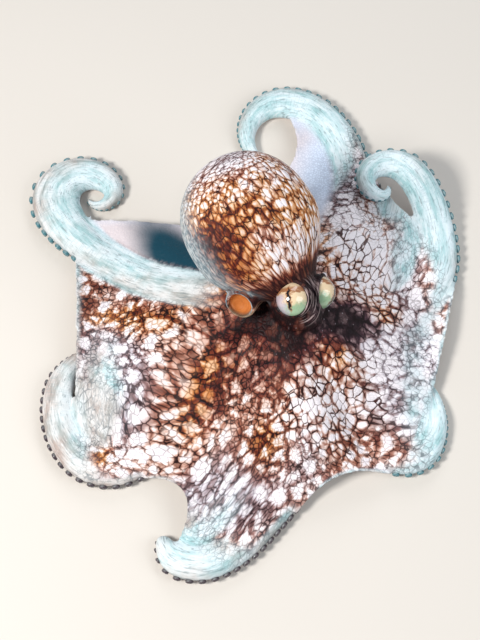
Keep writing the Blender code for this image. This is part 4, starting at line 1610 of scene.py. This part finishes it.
@dataclass
class Skin:
    """The one skin over arms, webs, head, mantle and funnel.

    Attributes:
        frame: The part's frame.
        mantle, head, umbrella: The forms that it covers.
        voxel: Width of the cells in which they are joined.
        under_share: Share of the faces that the underside keeps.
        eye_cuts: Reach and angles, from an eye, within which each cut makes the mesh finer.
        tips: Arms whose tips pass over a web, and where they start to.
        piece: The skin itself.
    """

    frame: Frame
    mantle: Mantle = field(default_factory=Mantle)
    head: Head = field(default_factory=Head)
    umbrella: Umbrella = field(default_factory=Umbrella)
    voxel: float = 1.25
    under_share: float = 0.62
    eye_cuts: tuple[tuple[float, float, float], ...] = ((13.5, -1.0, 120.0), (11.8, 52.0, 100.0))
    tips: tuple[tuple[str, float], ...] = (("arm_l2", 112.0), ("arm_r2", 150.0), ("arm_l1", 108.0))
    piece: Optional[bpy.types.Object] = None

    def form(self) -> None:
        """Joins all closed forms and draws one skin over them."""
        bm = bmesh.new()
        self.umbrella.build(bm)
        self.mantle.build(bm)
        self.head.build(bm, self.mantle)
        self.frame.place(bm)
        self.piece = to_object("skin", bm)
        remesh = self.piece.modifiers.new("one_skin", "REMESH")
        remesh.mode = "VOXEL"
        remesh.voxel_size = self.voxel * MM
        remesh.use_smooth_shade = True
        soften = self.piece.modifiers.new("soften", "SMOOTH")
        soften.factor = 0.5
        soften.iterations = 4
        settle(self.piece)
        LOG.info("skin: %d faces after joining", len(self.piece.data.polygons))

    def group(self, name: str, weights: np.ndarray) -> str:
        """Makes a vertex group from weights, in steps of a tenth."""
        group = self.piece.vertex_groups.new(name=name)
        for step in range(1, 11):
            chosen = np.nonzero(np.rint(weights * 10.0) == step)[0]
            if len(chosen):
                group.add(chosen.tolist(), step / 10.0, "REPLACE")
        return group.name

    def calm(self) -> None:
        """Stretches the skin smoothly over the roots of the arms, and thins the underside."""
        points, normals = self.frame.local(self.piece.data), self.normals()
        lie = Lie(self.umbrella, points)
        bag = self.bag(points)
        body = np.maximum(bag, ease(51.0, 57.0, points[:, 2]))
        stretch = lie.inner * ease(-0.35, 0.1, normals[:, 2]) * (1.0 - body)
        clear = np.min([np.linalg.norm(points - np.array(eye.centre), axis=1) for eye in EYES],
                       axis=0)
        beyond, girdle = self.head.from_funnel(points)
        free = ease(9.5, 12.0, girdle) + ease(-14.0, -18.0, beyond)
        scalp = ease(10.6, 13.0, clear) * (1.0 - bag) * ease(46.0, 50.0, points[:, 2])
        stretch = np.maximum(stretch, 0.8 * scalp * np.clip(free, 0.0, 1.0))
        over = self.piece.modifiers.new("stretched", "SMOOTH")
        over.vertex_group = self.group("stretched", stretch)
        over.factor = 0.5
        over.iterations = 60
        below = ease(-0.25, -0.6, normals[:, 2]) * ease(56.0, 50.0, points[:, 2])
        thin = self.piece.modifiers.new("thinned", "DECIMATE")
        thin.vertex_group = self.group("thinned", below)
        thin.ratio = self.under_share
        settle(self.piece)
        self.piece.vertex_groups.clear()
        LOG.info("skin: %d faces after thinning", len(self.piece.data.polygons))

    def refine(self) -> None:
        """Cuts the mesh finer round the eyes and the funnel's mouth."""
        for far, least, most in self.eye_cuts:
            local = self.frame.local(self.piece.data)
            chosen = np.linalg.norm(local - np.array(self.head.funnel_mouth), axis=1) < 8.5
            for eye in EYES:
                reach, angle, _, _ = self.head.lid_distance(local, eye)
                chosen |= (reach < far) & (angle > least) & (angle < most)
            bm = bmesh.new()
            bm.from_mesh(self.piece.data)
            edges = [e for e in bm.edges if chosen[e.verts[0].index] and chosen[e.verts[1].index]]
            bmesh.ops.subdivide_edges(bm, edges=edges, cuts=1, smooth=0.0, use_grid_fill=True)
            bmesh.ops.triangulate(bm, faces=[f for f in bm.faces if len(f.verts) > 4])
            bm.to_mesh(self.piece.data)
            bm.free()

    def sculpt(self) -> None:
        """Shapes lids, folds and the funnel's mouth, and rests the arms on the floor."""
        mesh = self.piece.data
        points = self.frame.local(mesh)
        points = self.head.wrinkle(points, self.normals())
        for eye in EYES:
            points = self.head.sculpt_eye(points, eye)
        points = self.head.sculpt_funnel(points)
        points[:, 2] = np.where(points[:, 2] < 0.45, 0.0, points[:, 2])
        self.frame.put(mesh, points)
        near = np.linalg.norm(points - np.array(self.head.funnel_mouth), axis=1) < 8.0
        for eye in EYES:
            reach = np.linalg.norm(points - np.array(eye.centre), axis=1)
            near |= (reach > EYE_RADIUS - 0.4) & (reach < 14.0)
        bm = bmesh.new()
        bm.from_mesh(mesh)
        bm.verts.ensure_lookup_table()
        chosen = [bm.verts[i] for i in np.nonzero(near)[0]]
        bmesh.ops.smooth_vert(bm, verts=chosen, factor=0.35, use_axis_x=True, use_axis_y=True,
                              use_axis_z=True)
        bm.to_mesh(mesh)
        bm.free()

    def normals(self) -> np.ndarray:
        """Returns the skin's vertex normals."""
        flat = np.zeros(len(self.piece.data.vertices) * 3)
        self.piece.data.vertices.foreach_get("normal", flat)
        return flat.reshape(-1, 3)

    def bag(self, points: np.ndarray) -> np.ndarray:
        """Returns 1 on the mantle and 0 elsewhere, with a soft border at the neck."""
        inside = self.mantle.inside(points)
        along = inside[:, 2] / self.mantle.half_length
        ring = np.hypot(inside[:, 0] / self.mantle.half_width,
                        inside[:, 1] / self.mantle.half_depth)
        shell = np.hypot(ring, np.abs(along) ** 1.15)
        return ease(1.27, 1.12, shell) * ease(-1.0, -0.80, along)

    def unwrap(self, lie: Lie) -> None:
        """Lays the skin flat in plan, with what lies over or under the rest in boxes of its own."""
        mesh = self.piece.data
        owner = np.zeros(len(mesh.polygons), int)
        mesh.polygons.foreach_get("loop_total", owner)
        starts = np.append(0, np.cumsum(owner)[:-1])
        owner = np.repeat(np.arange(len(owner)), owner)
        vertex = np.zeros(len(mesh.loops), int)
        mesh.loops.foreach_get("vertex_index", vertex)
        facing = np.zeros(len(mesh.polygons) * 3)
        mesh.polygons.foreach_get("normal", facing)
        up = facing.reshape(-1, 3)[:, 2] > -0.1
        first = vertex[starts]
        at = lie.points[first]
        beyond, girdle = self.head.from_funnel(at)
        bag = self.bag(at) > 0.5
        pipe = ~bag & (girdle < 10.4) & (beyond > -14.0) & (at[:, 2] > 50.0)
        rest = ~bag & ~pipe
        normals = self.normals()
        corners = (lie.points + normals * (1.2 * (1.0 - np.abs(normals[:, 2:]))))[vertex, :2]
        flats = [Flat((0.740, 0.005, 0.995, 0.290), bag & up),
                 Flat((0.740, 0.620, 0.900, 0.860), bag & ~up),
                 Flat((0.905, 0.620, 0.995, 0.735), pipe & up),
                 Flat((0.905, 0.745, 0.995, 0.860), pipe & ~up)]
        for number, (name, start) in enumerate(self.tips):
            tip = rest & (lie.arm[first] == list(ARMS).index(name)) & (lie.along[first] > start)
            rest &= ~tip
            left = 0.005 + 0.24 * number
            flats.append(Flat((left, 0.875, left + 0.11, 0.995), tip & up))
            flats.append(Flat((left + 0.12, 0.875, left + 0.23, 0.995), tip & ~up))
        chin = rest & ~up & (at[:, 2] > 50.0)
        flats += [Flat((0.740, 0.875, 0.995, 0.995), chin),
                  Flat((0.005, 0.005, 0.730, 0.865), rest & up),
                  Flat((0.740, 0.300, 0.995, 0.610), rest & ~up & ~chin)]
        layout = np.zeros((len(vertex), 2))
        for flat in flats:
            flat.lay(corners, owner, layout)
        layer = mesh.uv_layers.new(name="OFBake")
        layer.data.foreach_set("uv", layout.ravel())

    def paint(self) -> Lie:
        """Writes the attributes that the skin's material reads, and returns where it all lies."""
        lie = Lie(self.umbrella, self.frame.local(self.piece.data))
        coat = Coat(lie, self.normals(), self.bag(lie.points), self.head, self.mantle)
        self.write("grain", coat.pebble, coat.olive, coat.glint)
        self.write_place("net_place", coat.net_place())
        self.write_place("flow_place", coat.flow_place())
        self.write("tint", coat.brown, coat.dark, coat.cool)
        self.write("look", coat.net, coat.pale, coat.plain)
        self.write("region", coat.bag, coat.under, coat.bore)
        self.write("wash", coat.whiten, coat.mantle_shadow, coat.painted_sheen)
        self.write("lie", coat.streak, coat.warmth, coat.fold)
        self.write("trim", coat.curl, coat.hem, coat.band)
        return lie

    def write(self, name: str, *shares: np.ndarray) -> None:
        """Stores three shares, 0 to 1, as one attribute of the skin's vertices."""
        layer = self.piece.data.attributes.new(name, "FLOAT_COLOR", "POINT")
        values = np.clip(np.column_stack(shares), 0.0, 1.0)
        opaque = np.column_stack([values, np.ones(len(values))])
        layer.data.foreach_set("color", opaque.ravel())

    def write_place(self, name: str, places: np.ndarray) -> None:
        """Stores places as one attribute of the skin's vertices."""
        layer = self.piece.data.attributes.new(name, "FLOAT_VECTOR", "POINT")
        layer.data.foreach_set("vector", places.ravel())

    def build(self) -> bpy.types.Object:
        """Makes the whole skin."""
        self.form()
        self.calm()
        self.refine()
        self.sculpt()
        self.unwrap(self.paint())
        self.piece.data.materials.append(SkinFinish().material())
        count = sum(len(face.vertices) - 2 for face in self.piece.data.polygons)
        LOG.info("skin: %d triangles", count)
        return self.piece


@dataclass
class Eyeballs:
    """The two eyeballs."""

    frame: Frame

    def build(self, eye: EyePlan) -> bpy.types.Object:
        """Makes one eyeball, a little longer along its slit, with a raised cornea."""
        bm = bmesh.new()
        made = bmesh.ops.create_uvsphere(bm, u_segments=56, v_segments=40, radius=1.0)["verts"]
        turn = gaze_frame(eye.axis)
        mirror = -1.0 if eye.axis[0] > 0.0 else 1.0
        local: list[np.ndarray] = []

        def globe(points: np.ndarray) -> np.ndarray:
            """Maps a ball to the eyeball."""
            swell = 1.0 + 0.045 * ease(0.70, 1.0, points[:, 2])
            shaped = points * (EYE_RADIUS * swell)[:, None] * np.array([1.0, 1.05, 1.0])
            local.append(shaped * np.array([mirror, 1.0, 1.0]))
            return shaped @ turn.T + np.array(eye.centre)

        reshape(made, globe)
        self.frame.place(bm)
        piece = to_object(eye.node + "_ball", bm)
        layer = piece.data.attributes.new("eye_place", "FLOAT_VECTOR", "POINT")
        layer.data.foreach_set("vector", local[0].ravel())
        return piece


@dataclass
class Suckers:
    """Two rows of suckers along each arm, joined into one mesh for each arm.

    Attributes:
        frame: The part's frame.
        umbrella: The arms.
        start: Where the rows start, from the arm's root.
        spare: How far short of the tip they end.
        spacing: From one sucker to the next one in the other row, in radii.
    """

    frame: Frame
    umbrella: Umbrella
    start: float = 10.0
    spare: float = 1.5
    spacing: float = 0.98

    def cup(self, bm: bmesh.types.BMesh) -> list[bmesh.types.BMVert]:
        """Adds one sucker of radius 1 that opens along +Z."""
        made = bmesh.ops.create_uvsphere(bm, u_segments=10, v_segments=6, radius=1.0)["verts"]

        def dish(points: np.ndarray) -> np.ndarray:
            """Maps a ball to a squat cup with a dent on top."""
            flat = np.hypot(points[:, 0], points[:, 1])
            wide = np.where(points[:, 2] > 0.0, 1.0, 0.86)
            dent = ease(0.62, 0.0, flat) * (points[:, 2] > 0.0)
            return np.column_stack([points[:, 0] * wide, points[:, 1] * wide,
                                    points[:, 2] * 0.62 - 0.42 * dent])

        reshape(made, dish)
        return made

    def seat(self, name: str, s: float, upper: bool) -> tuple[np.ndarray, np.ndarray, float]:
        """Finds one sucker's seat.

        Args:
            name: The arm.
            s: Length along it.
            upper: Whether it is in the row that turns up where the arm rolls over.

        Returns:
            The sucker's centre, the direction it opens in and its radius.
        """
        length = self.umbrella.courses[name][-1, 0]
        x, y, z, heading, wide, high = self.umbrella.at(name, np.array([s]))[0, 1:]
        size = 0.30 + 0.27 * min(wide, 9.4) * (1.0 - 0.22 * s / length)
        outwards = -ARMS[name].coil.value * np.array([-math.sin(heading), math.cos(heading), 0.0])
        rolled = float(ease(16.0, 52.0, np.array(s)))
        if upper:
            side, drop = 1.03 * rolled + 0.42 * (1.0 - rolled), -0.10 - 0.70 * (1.0 - rolled)
        else:
            side, drop = 0.55 * rolled - 0.42 * (1.0 - rolled), -0.80
        wide = max(wide - self.umbrella.sucker_room, 1.0)
        centre = np.array([x, y, z]) + outwards * side * wide + np.array([0.0, 0.0, drop * high])
        aim = unit(outwards * side + np.array([0.0, 0.0, 0.75 * drop]))
        low = 0.75 * size
        if centre[2] < low:
            aim = unit(np.array([aim[0], aim[1], max(aim[2], -0.1)]))
            centre = np.array([centre[0], centre[1], low]) + outwards * 0.3 * size
        return centre, aim, size

    def build(self, name: str) -> bpy.types.Object:
        """Makes one arm's suckers, in turn from the upper and the lower row."""
        length = self.umbrella.courses[name][-1, 0]
        bm = bmesh.new()
        tints: list[tuple[float, float]] = []
        s, upper = self.start, True
        while s < length - self.spare:
            centre, aim, size = self.seat(name, s, upper)
            verts, turn = self.cup(bm), frame_of(aim)
            tints += [(ARMS[name].sucker_tint, float(vert.co.z > 0.10)) for vert in verts]
            reshape(verts, lambda p: (p * size) @ turn.T + centre)
            s += self.spacing * size
            upper = not upper
        for vert in bm.verts:
            vert.co.z = max(vert.co.z, 0.02)
        tint_layer = bm.verts.layers.float_color.new("sucker")
        for vert, (tint, rim) in zip(bm.verts, tints):
            vert[tint_layer] = (tint, rim, 0.0, 1.0)
        self.frame.place(bm)
        return to_object(name + "_suckers", bm)


@dataclass
class Beak:
    """The parrot-like beak under the crown."""

    frame: Frame

    def build(self) -> bpy.types.Object:
        """Makes the two curved jaws as one closed form."""
        bm = bmesh.new()
        made = bmesh.ops.create_uvsphere(bm, u_segments=24, v_segments=16, radius=1.0)["verts"]

        def jaws(points: np.ndarray) -> np.ndarray:
            """Maps a ball to a hooked bill that points down."""
            drop = np.clip(-points[:, 2], 0.0, 1.0)
            x = points[:, 0] * 2.3 * (1.0 - 0.55 * drop)
            y = points[:, 1] * 2.6 * (1.0 - 0.35 * drop) + 0.9 * drop ** 2
            return np.column_stack([x, y, 37.4 + points[:, 2] * 3.2])

        reshape(made, jaws)
        self.frame.place(bm)
        return to_object("beak_jaws", bm)


# ---------------------------------------------------------------------------- the setting


@dataclass
class Studio:
    """Floor, lights and camera."""

    frame: Frame
    target: tuple[float, float, float] = (-25.7, 2.1, 25.0)
    elevation: float = 68.0
    distance: float = 595.8
    lens: float = 65.0

    def floor(self) -> None:
        """Lays a plain pale floor."""
        bm = bmesh.new()
        bmesh.ops.create_grid(bm, x_segments=1, y_segments=1, size=3.0)
        piece = to_object("floor", bm)
        g = Graph("pale_floor")
        piece.data.materials.append(g.finish(Base_Color=tone(214, 208, 200), Roughness=0.9))
        piece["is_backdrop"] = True

    def lamp(self, name: str, place: Iterable[float], watts: float, size: float,
             colour: tuple[float, float, float]) -> None:
        """Hangs one soft lamp that points at the animal; place is in metres from it."""
        light = bpy.data.lights.new(name, "AREA")
        light.energy = watts
        light.size = size
        light.color = colour
        holder = bpy.data.objects.new(name, light)
        holder.location = Vector(list(place))
        aim = Vector((0.0, 0.0, 0.03)) - holder.location
        holder.rotation_euler = aim.to_track_quat("-Z", "Y").to_euler()
        bpy.context.scene.collection.objects.link(holder)

    def lights(self) -> None:
        """Sets a soft key, a fill and an even sky."""
        self.lamp("key", (-0.52, -0.30, 0.74), 9.0, 0.22, (1.0, 0.98, 0.95))
        self.lamp("fill", (0.65, -0.25, 0.60), 3.2, 0.55, (0.93, 0.97, 1.0))
        self.lamp("back", (0.15, 0.80, 0.60), 2.6, 0.50, (0.95, 0.98, 1.0))
        world = bpy.data.worlds.new("studio")
        world.use_nodes = True
        world.node_tree.nodes["Background"].inputs[0].default_value = (0.85, 0.9, 1.0, 1.0)
        world.node_tree.nodes["Background"].inputs[1].default_value = 0.30
        bpy.context.scene.world = world

    def camera(self) -> None:
        """Looks down on the animal from the front."""
        lens = bpy.data.cameras.new("camera")
        lens.lens = self.lens
        lens.sensor_width = 36.0
        lens.clip_start = 0.01
        holder = bpy.data.objects.new("camera", lens)
        target = Vector(self.target) * MM + self.frame.crown
        rise = math.radians(self.elevation)
        back = Vector((0.0, -math.cos(rise), math.sin(rise)))
        holder.location = target + back * (self.distance * MM)
        holder.rotation_euler = (-back).to_track_quat("-Z", "Y").to_euler()
        bpy.context.scene.collection.objects.link(holder)
        bpy.context.scene.camera = holder

    def build(self) -> None:
        """Sets the whole studio."""
        self.floor()
        self.lights()
        self.camera()
        bpy.context.scene.view_settings.view_transform = "Standard"


def main() -> None:
    """Builds every piece in order."""
    logging.basicConfig(level=logging.INFO, format="%(message)s")
    frame = Frame()
    Studio(frame).build()

    skin = Skin(frame)
    piece = skin.build()
    flesh = [name for name in frame.loaded["nodes"]
             if name.startswith(("arm_", "web_")) or name in ("head", "mantle", "funnel")]
    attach(piece, "root")
    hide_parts(*flesh)

    gaze = EyeFinish().material()
    for eye in EYES:
        ball = Eyeballs(frame).build(eye)
        ball.data.materials.append(gaze)
        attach(ball, "root")
        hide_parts(eye.node)
        LOG.info("%s: made", ball.name)

    rubbery = SuckerFinish().material()
    for name in ARMS:
        row = Suckers(frame, skin.umbrella).build(name)
        row.data.materials.append(rubbery)
        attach(row, "root")
        LOG.info("%s: %d faces", row.name, len(row.data.polygons))

    beak = Beak(frame).build()
    beak.data.materials.append(HornFinish().material())
    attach(beak, "root")
    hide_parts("beak")


if __name__ == "__main__":
    main()
